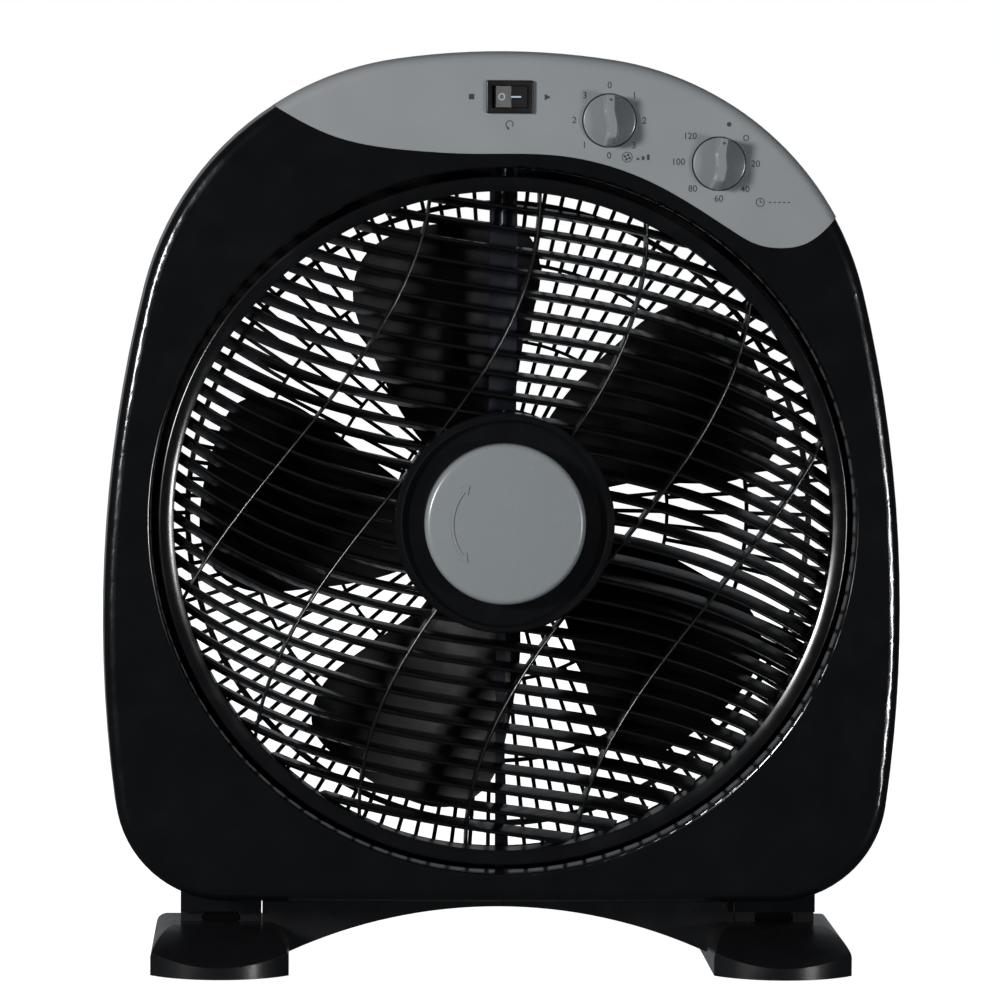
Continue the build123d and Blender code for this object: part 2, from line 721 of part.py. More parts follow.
def motor_cap(outer_forward, inner_forward):
    """End cap of the motor: a disc and rim from the outer to the inner face, round a bearing hub."""
    way = 1 if inner_forward > outer_forward else -1
    with BuildPart() as cap:
        with BuildSketch(hub_section):
            with BuildLine():
                disc = outer_forward + way * motor_wall
                hub_end = outer_forward + way * bush_length
                Polyline((bush_radius, outer_forward), (motor_radius, outer_forward),
                         (motor_radius, inner_forward), (motor_radius - motor_wall, inner_forward),
                         (motor_radius - motor_wall, disc), (bearing_hub_radius, disc),
                         (bearing_hub_radius, hub_end), (bush_radius, hub_end), close=True)
            make_face()
        revolve(axis=hub_axis)
        with BuildSketch(hub_plane.offset(min(outer_forward, inner_forward))):
            with PolarLocations(bolt_circle_radius, bolt_count, 45):
                Circle(bolt_boss_radius)
        extrude(amount=abs(inner_forward - outer_forward))
        with BuildSketch(hub_plane.offset(min(outer_forward, inner_forward))):
            with PolarLocations(bolt_circle_radius, bolt_count, 45):
                Circle(bolt_radius + screw_hole_clearance)
        extrude(amount=abs(inner_forward - outer_forward), mode=Mode.SUBTRACT)
    return cap.part


with BuildPart() as motor_front_cap:
    add(motor_cap(plate_rear, stack_front))
motor_front_cap.part.label = "motor_front_cap"

with BuildPart() as motor_rear_cap:
    add(motor_cap(motor_rear, stack_rear))
motor_rear_cap.part.label = "motor_rear_cap"

with BuildPart() as stator_core:
    with BuildSketch(hub_plane.offset(stack_rear)):
        Circle(motor_radius)
        Circle(rotor_radius + air_gap, mode=Mode.SUBTRACT)
        with PolarLocations((coil_inner_radius + coil_outer_radius) / 2, coil_slots):
            Rectangle(coil_outer_radius - coil_inner_radius + 0.4, coil_slot_width + 0.4, mode=Mode.SUBTRACT)
        with PolarLocations(bolt_circle_radius, bolt_count, 45):
            Circle(bolt_radius + screw_hole_clearance, mode=Mode.SUBTRACT)
    extrude(amount=stack_length)
stator_core.part.label = "stator_core"

with BuildPart() as stator_coils:
    with BuildSketch(hub_plane.offset(stack_rear)):
        with PolarLocations((coil_inner_radius + coil_outer_radius) / 2, coil_slots):
            Rectangle(coil_outer_radius - coil_inner_radius, coil_slot_width)
    extrude(amount=stack_length)
    for ring_rear in (stack_front, stack_rear - coil_end_length):
        with BuildSketch(hub_plane.offset(ring_rear)):
            Circle(coil_outer_radius + 0.6)
            Circle(coil_inner_radius - 0.6, mode=Mode.SUBTRACT)
        extrude(amount=coil_end_length)
stator_coils.part.label = "stator_coils"

with BuildPart() as rotor:
    with BuildSketch(hub_plane.offset(stack_rear - 0.5)):
        Circle(rotor_radius)
        Circle(shaft_radius, mode=Mode.SUBTRACT)
    extrude(amount=stack_length + 1)
rotor.part.label = "rotor"

nut_front = blade_boss_rear
nut_rear = nut_front - nut_depth
pin_forward = blade_cup_rear + blade_cup_wall + 1.0
with BuildPart() as motor_shaft:
    with BuildSketch(hub_plane.offset(nut_rear + 2)):
        Circle(shaft_radius)
    extrude(amount=plate_rear - 1.5 - nut_rear - 2)
    with BuildSketch(Plane.YZ.offset(-drive_pin_length / 2)):
        with Locations((-pin_forward, hub_z)):
            Circle(drive_pin_radius)
    extrude(amount=drive_pin_length, mode=Mode.SUBTRACT)
motor_shaft.part.label = "motor_shaft"

with BuildPart() as drive_pin:
    with BuildSketch(Plane.YZ.offset(-drive_pin_length / 2)):
        with Locations((-pin_forward, hub_z)):
            Circle(drive_pin_radius)
    extrude(amount=drive_pin_length)
drive_pin.part.label = "drive_pin"

with BuildPart() as front_bush:
    with BuildSketch(hub_plane.offset(plate_rear - bush_length)):
        Circle(bush_radius)
        Circle(shaft_radius + running_clearance, mode=Mode.SUBTRACT)
    extrude(amount=bush_length)
front_bush.part.label = "front_bush"

with BuildPart() as rear_bush:
    with BuildSketch(hub_plane.offset(motor_rear)):
        Circle(bush_radius)
        Circle(shaft_radius + running_clearance, mode=Mode.SUBTRACT)
    extrude(amount=bush_length)
rear_bush.part.label = "rear_bush"

with BuildPart() as motor_bolts:
    with BuildSketch(hub_plane.offset(motor_rear - 2)):
        with PolarLocations(bolt_circle_radius, bolt_count, 45):
            Circle(bolt_radius)
    extrude(amount=plate_forward - motor_rear + 2)
    with BuildSketch(hub_plane.offset(plate_forward)):
        with PolarLocations(bolt_circle_radius, bolt_count, 45):
            Circle(screw_head_radius)
    extrude(amount=screw_head_height)
motor_bolts.part.label = "motor_bolts"

with BuildPart() as motor_nuts:
    with BuildSketch(hub_plane.offset(motor_rear - 1.8)):
        with PolarLocations(bolt_circle_radius, bolt_count, 45):
            RegularPolygon(3.2, 6, major_radius=False)
            Circle(bolt_radius, mode=Mode.SUBTRACT)
    extrude(amount=1.8)
motor_nuts.part.label = "motor_nuts"

# ---- fan blade: five twisted blades on a cup that covers the back of the motor ----
blade_outline = [(44.0, -10.0), (56.0, -15.0), (87.0, -20.5), (125.0, -21.0), (136.0, -17.5), (140.5, -9.0),
                 (blade_tip_radius, 5.0), (141.0, 14.5), (127.0, 21.5), (103.0, 25.5), (71.0, 31.0), (44.0, 35.0)]
blade_sections = (38.0, 75.0, 112.0, 150.0)
blade_half_chord = 62.0


def blade_solid():
    """One blade along local +X: a cambered, twisted sheet trimmed to its outline. Local +Z is forward."""
    with BuildPart() as blade:
        for radius in blade_sections:
            slope = blade_tip_slope + blade_root_lead / radius
            half = min(blade_half_chord, 0.85 * radius)
            sag = blade_camber * 2 * half
            with BuildSketch(Plane(origin=(radius, 0, blade_mid_forward), x_dir=(0, 1, 0), z_dir=(1, 0, 0))):
                with BuildLine():
                    low, high = (-half, -half * slope), (half, half * slope)
                    lower = ThreePointArc(low, (0, -sag), high)
                    upper = ThreePointArc((low[0], low[1] + blade_thickness), (0, blade_thickness - sag),
                                          (high[0], high[1] + blade_thickness))
                    Line(lower @ 0, upper @ 0)
                    Line(lower @ 1, upper @ 1)
                make_face()
        loft()
        with BuildSketch(Plane.XY.offset(-2 * blade_half_chord)):
            with BuildLine():
                rim = Spline(*[(r * cos(radians(a)), r * sin(radians(a))) for r, a in blade_outline])
                Line(rim @ 0, rim @ 1)
            make_face()
        extrude(amount=4 * blade_half_chord, mode=Mode.INTERSECT)
    return blade.part


one_blade = blade_solid()
with BuildPart(hub_plane) as fan_blade:
    with BuildSketch(hub_section):
        with BuildLine():
            cup_inner = blade_cup_radius - blade_cup_wall
            web_forward = blade_cup_rear + blade_cup_wall
            boss_forward = pin_forward + 1.5
            Polyline((blade_cup_radius, blade_cup_forward), (blade_cup_radius, blade_cup_rear),
                     (blade_boss_radius, blade_cup_rear), (blade_boss_radius, blade_boss_rear),
                     (shaft_radius, blade_boss_rear), (shaft_radius, boss_forward), (blade_boss_radius, boss_forward),
                     (blade_boss_radius, web_forward), (cup_inner, web_forward), (cup_inner, blade_cup_forward),
                     close=True)
        make_face()
    revolve(axis=hub_axis)
    for number in range(blade_count):
        with Locations(Location((0, 0, 0), (0, 0, blade_first_angle + number * 360 / blade_count))):
            add(one_blade)
    with BuildSketch(hub_plane.offset(pin_forward - drive_pin_radius)):
        Rectangle(drive_pin_length, 2 * drive_pin_radius)
    extrude(amount=4 * drive_pin_radius, mode=Mode.SUBTRACT)
    with BuildSketch(hub_plane.offset(web_forward)):
        Circle(cup_inner)
        Circle(blade_boss_radius, mode=Mode.SUBTRACT)
    extrude(amount=2 * blade_half_chord, mode=Mode.SUBTRACT)
fan_blade.part.label = "fan_blade"

with BuildPart() as blade_nut:
    with BuildSketch(hub_section):
        with BuildLine():
            Polyline((shaft_radius, nut_front), (nut_radius, nut_front), (nut_radius, nut_rear + 3),
                     (nut_radius - 3, nut_rear), (0, nut_rear), (0, nut_rear + 2), (shaft_radius, nut_rear + 2),
                     close=True)
        make_face()
    revolve(axis=hub_axis)
    with BuildSketch(hub_plane.offset(nut_rear - 1)):
        with PolarLocations(nut_radius + 1.2, 12):
            Circle(2)
    extrude(amount=nut_depth - 2, mode=Mode.SUBTRACT)
blade_nut.part.label = "blade_nut"

# ---- rear guard: dished grille moulded with a skirt, a flange and four screw ears ----
dish_depth = guard_rim_forward - guard_centre_forward
skirt_radius = rear_opening_radius - side_clearance
guard_sphere = dish_radius(skirt_radius, dish_depth)
band_inner_radius = skirt_radius - guard_skirt_wall - guard_band_width
zone_edges = (skirt_radius, *guard_ring_radii[1:3], guard_boss_radius)
with BuildPart() as rear_guard:
    with BuildSketch(hub_plane.offset(guard_centre_forward - guard_thickness)):
        Circle(skirt_radius)
        Circle(band_inner_radius, mode=Mode.SUBTRACT)
        for outer, inner, count in zip(zone_edges, zone_edges[1:], guard_spoke_counts):
            with PolarLocations((outer + inner) / 2, count):
                Rectangle(outer - inner, guard_spoke_width)
        for ring_radius, ring_width in zip(guard_ring_radii, guard_ring_widths):
            with BuildSketch(mode=Mode.PRIVATE) as ring:
                Circle(ring_radius + ring_width / 2)
                Circle(ring_radius - ring_width / 2, mode=Mode.SUBTRACT)
            add(ring.sketch)
        Circle(guard_boss_radius + 1)
    extrude(amount=dish_depth + 2 * guard_thickness)
    with BuildSketch(hub_section):
        with BuildLine():
            arcs = []
            for lift in (0, guard_thickness):
                rim_point = (skirt_radius, guard_rim_forward - lift)
                half = skirt_radius / 2
                mid_forward = guard_centre_forward + guard_sphere - sqrt(guard_sphere**2 - half**2)
                arcs.append(ThreePointArc(rim_point, (half, mid_forward - lift), (0, guard_centre_forward - lift)))
            Line(arcs[0] @ 0, arcs[1] @ 0)
            Line(arcs[0] @ 1, arcs[1] @ 1)
        make_face()
    revolve(axis=hub_axis, mode=Mode.INTERSECT)
    with BuildSketch(hub_section):
        with BuildLine():
            Polyline((skirt_radius, guard_rim_forward), (skirt_radius, rear_forward),
                     (guard_flange_radius, rear_forward), (guard_flange_radius, rear_forward - guard_flange_thickness),
                     (skirt_radius - guard_skirt_wall, rear_forward - guard_flange_thickness),
                     (skirt_radius - guard_skirt_wall, guard_rim_forward), close=True)
        make_face()
    revolve(axis=hub_axis)
    with BuildSketch(hub_plane.offset(rear_forward - guard_flange_thickness)):
        with PolarLocations(guard_screw_circle, 4, guard_screw_angle):
            Circle(guard_ear_radius)
        Circle(skirt_radius, mode=Mode.SUBTRACT)
    extrude(amount=guard_flange_thickness)
    with BuildSketch(hub_plane.offset(rear_forward - guard_flange_thickness)):
        with PolarLocations(guard_screw_circle, 4, guard_screw_angle):
            Circle(screw_radius + screw_hole_clearance)
    extrude(amount=guard_flange_thickness, mode=Mode.SUBTRACT)
rear_guard.part.label = "rear_guard"

with BuildPart() as guard_screws:
    with BuildSketch(hub_plane.offset(rear_forward - guard_flange_thickness - screw_head_height)):
        with PolarLocations(guard_screw_circle, 4, guard_screw_angle):
            Circle(screw_head_radius)
    extrude(amount=screw_head_height)
    with BuildSketch(hub_plane.offset(rear_forward - guard_flange_thickness)):
        with PolarLocations(guard_screw_circle, 4, guard_screw_angle):
            Circle(screw_radius)
    extrude(amount=10)
guard_screws.part.label = "guard_screws"

# ---- case and panel screws, cord inlet bush ----
with BuildPart() as case_screws:
    with BuildSketch(front_plane(counterbore_end - screw_head_height)):
        with Locations(*case_screw_points):
            Circle(screw_head_radius)
    extrude(amount=screw_head_height)
    with BuildSketch(front_plane(counterbore_end)):
        with Locations(*case_screw_points):
            Circle(screw_radius)
    extrude(amount=parting_forward - counterbore_end + 14)
case_screws.part.label = "case_screws"

with BuildPart() as panel_screws:
    with BuildSketch(front_plane(deck_forward - screw_head_height)):
        with Locations(*panel_screw_points):
            Circle(panel_screw_boss + 1.4)
    extrude(amount=screw_head_height)
    with BuildSketch(front_plane(deck_forward)):
        with Locations(*panel_screw_points):
            Circle(screw_radius - 0.6)
    extrude(amount=case_wall)
panel_screws.part.label = "panel_screws"

inlet_radius = 3.2
with BuildPart() as cord_inlet:
    with BuildSketch(front_plane(rear_forward - 5)):
        with Locations((grommet_x, grommet_z)):
            Circle(grommet_radius + 2.5)
    extrude(amount=5)
    with BuildSketch(front_plane(rear_forward)):
        with Locations((grommet_x, grommet_z)):
            Circle(grommet_radius)
    extrude(amount=case_wall)
    with BuildSketch(front_plane(rear_forward + case_wall)):
        with Locations((grommet_x, grommet_z)):
            Circle(grommet_radius + 1.2)
    extrude(amount=3)
    with BuildSketch(front_plane(rear_forward - 5)):
        with Locations((grommet_x, grommet_z)):
            Circle(inlet_radius)
    extrude(amount=12, mode=Mode.SUBTRACT)
    far_edge = cord_inlet.edges().filter_by(GeomType.CIRCLE).sort_by(Axis.Y).group_by(Axis.Y)[-1]
    fillet(far_edge.sort_by(SortBy.RADIUS)[-1], 1.5)
cord_inlet.part.label = "cord_inlet"

# ---- switches behind the panel ----
shaft_rear = cup_floor_forward - shaft_entry
knob_rear = cup_floor_forward + dial_cup_floor + 0.4
knob_face = knob_rear + knob_disc + front_forward - cup_floor_forward - dial_cup_floor - 1.5
knob_front = knob_face + knob_grip_height
shaft_front = knob_face + 5.0
with BuildPart() as speed_switch:
    with BuildSketch(front_plane(cup_floor_forward - speed_body_depth)):
        with Locations((speed_x, speed_z)):
            RectangleRounded(speed_body_side, speed_body_side, 2)
    extrude(amount=speed_body_depth)
    with BuildSketch(front_plane(shaft_rear - 0.5)):
        with Locations((speed_x, speed_z)):
            Circle(dial_shaft_radius + running_clearance)
    extrude(amount=shaft_entry + 1, mode=Mode.SUBTRACT)
    with BuildSketch(front_plane(cup_floor_forward - speed_body_depth - 5)):
        with Locations((speed_x, speed_z)):
            with GridLocations(6.5, 14, 4, 1):
                Rectangle(0.8, 4.8)
    extrude(amount=5)
speed_switch.part.label = "speed_switch"

with BuildPart() as timer_body:
    with BuildSketch(front_plane(cup_floor_forward - timer_body_depth)):
        with Locations((timer_x, timer_z)):
            Circle(timer_body_radius)
    extrude(amount=timer_body_depth)
    with BuildSketch(front_plane(shaft_rear - 0.5)):
        with Locations((timer_x, timer_z)):
            Circle(dial_shaft_radius + running_clearance)
    extrude(amount=shaft_entry + 1, mode=Mode.SUBTRACT)
    with BuildSketch(front_plane(cup_floor_forward - timer_body_depth - 5)):
        with Locations((timer_x, timer_z)):
            with GridLocations(9, 0, 2, 1):
                Rectangle(0.8, 4.8)
    extrude(amount=5)
timer_body.part.label = "timer_body"


def dial_shaft(x, z):
    """Switch shaft from inside the switch to inside its knob."""
    with BuildPart() as shaft:
        with BuildSketch(front_plane(shaft_rear)):
            with Locations((x, z)):
                Circle(dial_shaft_radius)
        extrude(amount=shaft_front - shaft_rear)
    return shaft.part


def dial_knob(x, z):
    """Round knob with a raised grip bar across its face, bored for the shaft."""
    with BuildPart() as knob:
        with BuildSketch(front_plane(knob_rear)):
            with Locations((x, z)):
                Circle(knob_radius)
        extrude(amount=knob_face - knob_rear)
        fillet(knob.faces().sort_by(Axis.Y)[0].edges(), 0.8)
        with BuildSketch(front_plane(knob_face - 1)):
            with Locations((x, z)):
                SlotOverall(2 * knob_radius + 1.2, knob_grip_width, rotation=90)
        extrude(amount=knob_grip_height + 1)
        fillet(knob.faces().sort_by(Axis.Y)[0].edges(), 1.2)
        with BuildSketch(front_plane(knob_rear - 1)):
            with Locations((x, z)):
                Circle(dial_shaft_radius)
        extrude(amount=shaft_front - knob_rear + 1, mode=Mode.SUBTRACT)
    return knob.part


with BuildPart() as speed_shaft:
    add(dial_shaft(speed_x, speed_z))
speed_shaft.part.label = "speed_shaft"

with BuildPart() as timer_shaft:
    add(dial_shaft(timer_x, timer_z))
timer_shaft.part.label = "timer_shaft"

with BuildPart() as speed_knob:
    add(dial_knob(speed_x, speed_z))
speed_knob.part.label = "speed_knob"

with BuildPart() as timer_knob:
    add(dial_knob(timer_x, timer_z))
timer_knob.part.label = "timer_knob"

# ---- rocker switch ----
panel_face = front_forward + panel_proud
bezel_face = panel_face + bezel_thickness
rocker_pivot = panel_face - rocker_pivot_depth + bezel_thickness
rocker_cavity_half = rocker_half_length + 0.9
rocker_slot_half = rocker_half_height + 0.35
rocker_floor = rocker_pivot - rocker_half_length - 0.6
with BuildPart() as rocker_housing:
    with BuildSketch(front_plane(panel_face)):
        with Locations((rocker_x, rocker_z)):
            RectangleRounded(bezel_width, bezel_height, 1.0)
    extrude(amount=bezel_thickness)
    fillet(rocker_housing.faces().sort_by(Axis.Y)[0].edges(), 0.7)
    with BuildSketch(front_plane(panel_face - rocker_body_depth)):
        with Locations((rocker_x, rocker_z)):
            Rectangle(rocker_body_width, rocker_body_height)
    extrude(amount=rocker_body_depth)
    with BuildSketch(front_plane(rocker_floor)):
        with Locations((rocker_x, rocker_z)):
            Rectangle(2 * rocker_cavity_half, 2 * rocker_slot_half)
    extrude(amount=rocker_body_depth, mode=Mode.SUBTRACT)
    with BuildSketch(Plane.XY.offset(rocker_z - rocker_body_height / 2 + 0.3)):
        with Locations((rocker_x, -rocker_pivot)):
            Circle(rocker_stub_radius + running_clearance)
    extrude(amount=rocker_body_height - 0.6, mode=Mode.SUBTRACT)
rocker_housing.part.label = "rocker_housing"

with BuildPart() as rocker:
    with BuildSketch(Plane(origin=(rocker_x, -rocker_pivot, rocker_z - rocker_half_height),
                           x_dir=Vector(1, 0, 0).rotate(Axis.Z, rocker_rest_angle), z_dir=(0, 0, 1))):
        with BuildLine():
            reach = rocker_half_length
            Polyline((-reach, -5.0), (0, -3.8), (reach, -5.0), (reach, 0), (reach - 2.4, 4.5), (2.4 - reach, 4.5),
                     (-reach, 0), close=True)
        make_face()
    extrude(amount=2 * rocker_half_height)
    with BuildSketch(Plane.XY.offset(rocker_z - rocker_body_height / 2 + 0.5)):
        with Locations((rocker_x, -rocker_pivot)):
            Circle(rocker_stub_radius)
    extrude(amount=rocker_body_height - 1)
rocker.part.label = "rocker"

with BuildPart() as capacitor:
    with Locations((capacitor_x, case_wall - front_forward, capacitor_z)):
        Box(*capacitor_size, align=(Align.CENTER, Align.MIN, Align.CENTER))
    fillet(capacitor.edges().filter_by(Axis.Y), 2)
capacitor.part.label = "capacitor"

# ---- stand: two boat-shaped feet, an arched bridge, pivot pins and pads ----
def foot_form(inset):
    """Solid of a foot moved inwards by inset, open below the rim: boat plan, humped side, rounded shoulders."""
    half_width = foot_half_width - inset
    half_length = foot_half_length - inset
    nose_start = half_length - foot_nose
    top_z = foot_top_z - inset
    lip_z = foot_lip_z - inset / 2
    low_z = foot_rim_z - inset
    with BuildPart() as form:
        with BuildSketch(Plane.XY.offset(low_z)):
            with BuildLine():
                nose = ThreePointArc((-half_width, -nose_start), (0, -half_length), (half_width, -nose_start))
                tail = ThreePointArc((half_width, nose_start), (0, half_length), (-half_width, nose_start))
                Line(nose @ 1, tail @ 0)
                Line(tail @ 1, nose @ 0)
            make_face()
        extrude(amount=foot_top_z)
        with BuildSketch(Plane.YZ.offset(-foot_half_width)):
            with BuildLine():
                flat = 20.0
                bulge = (0.5 * (half_length + flat), 0.5 * (lip_z + top_z) + 2.4)
                rise = ThreePointArc((-half_length, lip_z), (-bulge[0], bulge[1]), (-flat, top_z))
                fall = ThreePointArc((flat, top_z), bulge, (half_length, lip_z))
                Line(rise @ 1, fall @ 0)
                Polyline(fall @ 1, (half_length, low_z), (-half_length, low_z), rise @ 0)
            make_face()
        extrude(amount=2 * foot_half_width, mode=Mode.INTERSECT)
        with BuildSketch(front_plane(-foot_half_length)):
            with BuildLine():
                shoulder = half_width - 9.5
                right = ThreePointArc((half_width, lip_z - 1.5), (half_width - 2.0, top_z - 5.2), (shoulder, top_z))
                left = ThreePointArc((-shoulder, top_z), (2.0 - half_width, top_z - 5.2), (-half_width, lip_z - 1.5))
                Line(right @ 1, left @ 0)
                Polyline(left @ 1, (-half_width, low_z), (half_width, low_z), right @ 0)
            make_face()
        extrude(amount=2 * foot_half_length, mode=Mode.INTERSECT)
    return form.part


foot_outside = foot_form(0)
foot_inside = foot_form(foot_wall)
bridge_screw_x = foot_half_width - 7.0
ear_base_z = 9.0
pad_boss_wall = 1.5
bridge_boss_radius = 5.0


def foot_hollow(side):
    """Room inside a foot, less the pad bosses and the boss for the bridge screw."""
    with BuildPart() as hollow:
        add(foot_inside)
        with Locations((0, -pad_offset_y, 0), (0, pad_offset_y, 0)):
            Cylinder(pad_radius + pad_boss_wall, 2 * foot_top_z, mode=Mode.SUBTRACT)
        with Locations((-side * bridge_screw_x, 0, 0)):
            Cylinder(bridge_boss_radius, 2 * foot_top_z, mode=Mode.SUBTRACT)
    return hollow.part


def foot(side):
    """Foot on one side: hollow shell with two pivot ears, pad seats and a boss for the bridge screw."""
    centre = side * foot_centre_x
    hollow = foot_hollow(side)
    with BuildPart() as body:
        with Locations((centre, 0, 0)):
            add(foot_outside)
            add(hollow, mode=Mode.SUBTRACT)
        for way in (-1, 1):
            with BuildSketch(Plane.YZ.offset(centre + way * ear_inner)):
                with Locations((0, pivot_z)):
                    Circle(knuckle_radius)
                with Locations((0, ear_base_z)):
                    Rectangle(2 * knuckle_radius, pivot_z - ear_base_z, align=(Align.CENTER, Align.MIN))
            extrude(amount=way * ear_width)
        with BuildSketch(Plane.YZ.offset(centre)):
            with Locations((0, pivot_z)):
                Circle(knuckle_radius + knuckle_clearance)
        extrude(amount=ear_inner, both=True, mode=Mode.SUBTRACT)
        with BuildSketch(Plane.YZ.offset(centre)):
            with Locations((0, pivot_z)):
                Circle(pivot_pin_radius)
        extrude(amount=lug_half_width, both=True, mode=Mode.SUBTRACT)
        with Locations((centre, -pad_offset_y, 0), (centre, pad_offset_y, 0)):
            Cylinder(pad_radius, pad_thickness, align=(Align.CENTER, Align.CENTER, Align.MIN), mode=Mode.SUBTRACT)
        with Locations((centre - side * bridge_screw_x, 0, 0)):
            Cylinder(screw_radius + screw_hole_clearance, 2 * foot_top_z, mode=Mode.SUBTRACT)
            Cylinder(screw_head_radius + screw_hole_clearance, 2 * (foot_rim_z + screw_head_height + 1),
                     mode=Mode.SUBTRACT)
    return body.part


with BuildPart() as left_foot:
    add(foot(-1))
left_foot.part.label = "left_foot"

with BuildPart() as right_foot:
    add(foot(1))
right_foot.part.label = "right_foot"

bridge_half_span = foot_centre_x - lug_half_width - side_clearance
with BuildPart() as stand_bridge:
    with Locations((0, 0, foot_rim_z + bridge_wall)):
        Box(2 * bridge_half_span, 2 * bridge_half_depth, bridge_top_z - foot_rim_z - bridge_wall,
            align=(Align.CENTER, Align.CENTER, Align.MIN))
    with BuildSketch(front_plane(-2 * bridge_half_depth)):
        with Locations((0, bridge_arch_z - bridge_arch_radius)):
            Circle(bridge_arch_radius)
    extrude(amount=4 * bridge_half_depth, mode=Mode.SUBTRACT)
    with Locations((0, 0, 0)):
        Box(2 * (foot_centre_x - foot_half_width - bridge_wall), 2 * (bridge_half_depth - bridge_wall),
            bridge_top_z - bridge_wall, align=(Align.CENTER, Align.CENTER, Align.MIN), mode=Mode.SUBTRACT)
    with Locations((-foot_centre_x, 0, 0), (foot_centre_x, 0, 0)):
        add(foot_outside, mode=Mode.SUBTRACT)
    with Locations(*[(side * (foot_centre_x - bridge_screw_x), 0, 0) for side in (-1, 1)]):
        Cylinder(screw_radius + running_clearance, 2 * (bridge_top_z - bridge_wall), mode=Mode.SUBTRACT)
    fillet(stand_bridge.edges().filter_by(Axis.X).group_by(Axis.Z)[-1], 1.0)
stand_bridge.part.label = "stand_bridge"

bridge_head_top = foot_rim_z + screw_head_height + 1
with BuildPart() as bridge_screws:
    with Locations(*[(side * (foot_centre_x - bridge_screw_x), 0, bridge_head_top) for side in (-1, 1)]):
        Cylinder(screw_head_radius, screw_head_height, align=(Align.CENTER, Align.CENTER, Align.MAX))
        Cylinder(screw_radius, 20, align=(Align.CENTER, Align.CENTER, Align.MIN))
bridge_screws.part.label = "bridge_screws"

with BuildPart() as pivot_pins:
    for x in lug_sides:
        with BuildSketch(Plane.YZ.offset(x)):
            with Locations((0, pivot_z)):
                Circle(pivot_pin_radius)
        extrude(amount=lug_half_width, both=True)
pivot_pins.part.label = "pivot_pins"

with BuildPart() as friction_washers:
    for x in lug_sides:
        for way in (-1, 1):
            with BuildSketch(Plane.YZ.offset(x + way * (tongue_half_width + running_clearance))):
                with Locations((0, pivot_z)):
                    Circle(knuckle_radius - 1)
                    Circle(pivot_pin_radius + running_clearance, mode=Mode.SUBTRACT)
            extrude(amount=way * washer_thickness)
friction_washers.part.label = "friction_washers"

with BuildPart() as foot_pads:
    with Locations(*[(x, way * pad_offset_y, 0) for x in lug_sides for way in (-1, 1)]):
        Cylinder(pad_radius, pad_thickness, align=(Align.CENTER, Align.CENTER, Align.MIN))
foot_pads.part.label = "foot_pads"

# ---- files: one STEP for each node ----
os.makedirs("parts", exist_ok=True)
nodes = (
    front_shell, rear_shell, control_panel, louvre_wheel, hub_cap, louvre_motor, louvre_shaft,
    louvre_motor_screws, motor_bracket, wire_cover, motor_wires, terminal_block, bracket_screws,
    motor_front_cap, motor_rear_cap, stator_core, stator_coils, rotor, motor_shaft, drive_pin, front_bush,
    rear_bush, motor_bolts, motor_nuts, fan_blade, blade_nut, rear_guard, guard_screws, case_screws,
    panel_screws, cord_inlet, speed_switch, timer_body, speed_shaft, timer_shaft, speed_knob, timer_knob,
    rocker_housing, rocker, capacitor, left_foot, right_foot, stand_bridge, bridge_screws, pivot_pins,
    friction_washers, foot_pads,
)
for node in nodes:
    export_step(node.part, f"parts/{node.part.label}.step")
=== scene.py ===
from math import cos, pi, radians, sin, sqrt

import bmesh
import bpy
from mathutils import Matrix, Vector


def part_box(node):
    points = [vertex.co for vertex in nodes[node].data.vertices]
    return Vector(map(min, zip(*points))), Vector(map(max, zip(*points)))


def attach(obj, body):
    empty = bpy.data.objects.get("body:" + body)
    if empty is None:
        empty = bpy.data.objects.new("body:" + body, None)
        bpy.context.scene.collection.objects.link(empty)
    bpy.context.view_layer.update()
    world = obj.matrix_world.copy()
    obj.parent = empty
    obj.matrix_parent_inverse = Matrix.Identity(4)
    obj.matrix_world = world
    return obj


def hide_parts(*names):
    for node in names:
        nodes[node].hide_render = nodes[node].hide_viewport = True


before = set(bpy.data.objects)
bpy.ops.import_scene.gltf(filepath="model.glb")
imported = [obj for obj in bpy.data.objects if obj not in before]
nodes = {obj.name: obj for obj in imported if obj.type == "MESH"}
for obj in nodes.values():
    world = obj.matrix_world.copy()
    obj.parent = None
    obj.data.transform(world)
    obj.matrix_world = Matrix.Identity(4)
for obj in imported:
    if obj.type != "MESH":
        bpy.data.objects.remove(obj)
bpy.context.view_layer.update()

scene = bpy.context.scene
millimetre = 0.001


# ---- camera ----
def place_camera():
    """The camera stands a little left of the fan and above its middle, and looks at the case's middle."""
    data = bpy.data.cameras.new("camera")
    data.lens = 196.1
    data.sensor_width = 36.0
    data.clip_start = 0.1
    data.clip_end = 40.0
    camera = bpy.data.objects.new("camera", data)
    scene.collection.objects.link(camera)
    camera.location = (-0.100, -2.600, 0.370)
    aim = Vector((0.0, 0.0, 0.2215))
    roll = radians(0.37)
    look = (aim - camera.location).to_track_quat("-Z", "Y")
    camera.rotation_euler = (look.to_matrix() @ Matrix.Rotation(roll, 3, "Z")).to_euler()
    scene.camera = camera


place_camera()


# ---- studio ----
def add_area_light(name, location, target, width, height, power):
    """A soft box that faces its target."""
    data = bpy.data.lights.new(name, "AREA")
    data.shape = "RECTANGLE"
    data.size = width
    data.size_y = height
    data.energy = power
    light = bpy.data.objects.new(name, data)
    scene.collection.objects.link(light)
    light.location = location
    direction = Vector(target) - Vector(location)
    light.rotation_euler = direction.to_track_quat("-Z", "Y").to_euler()


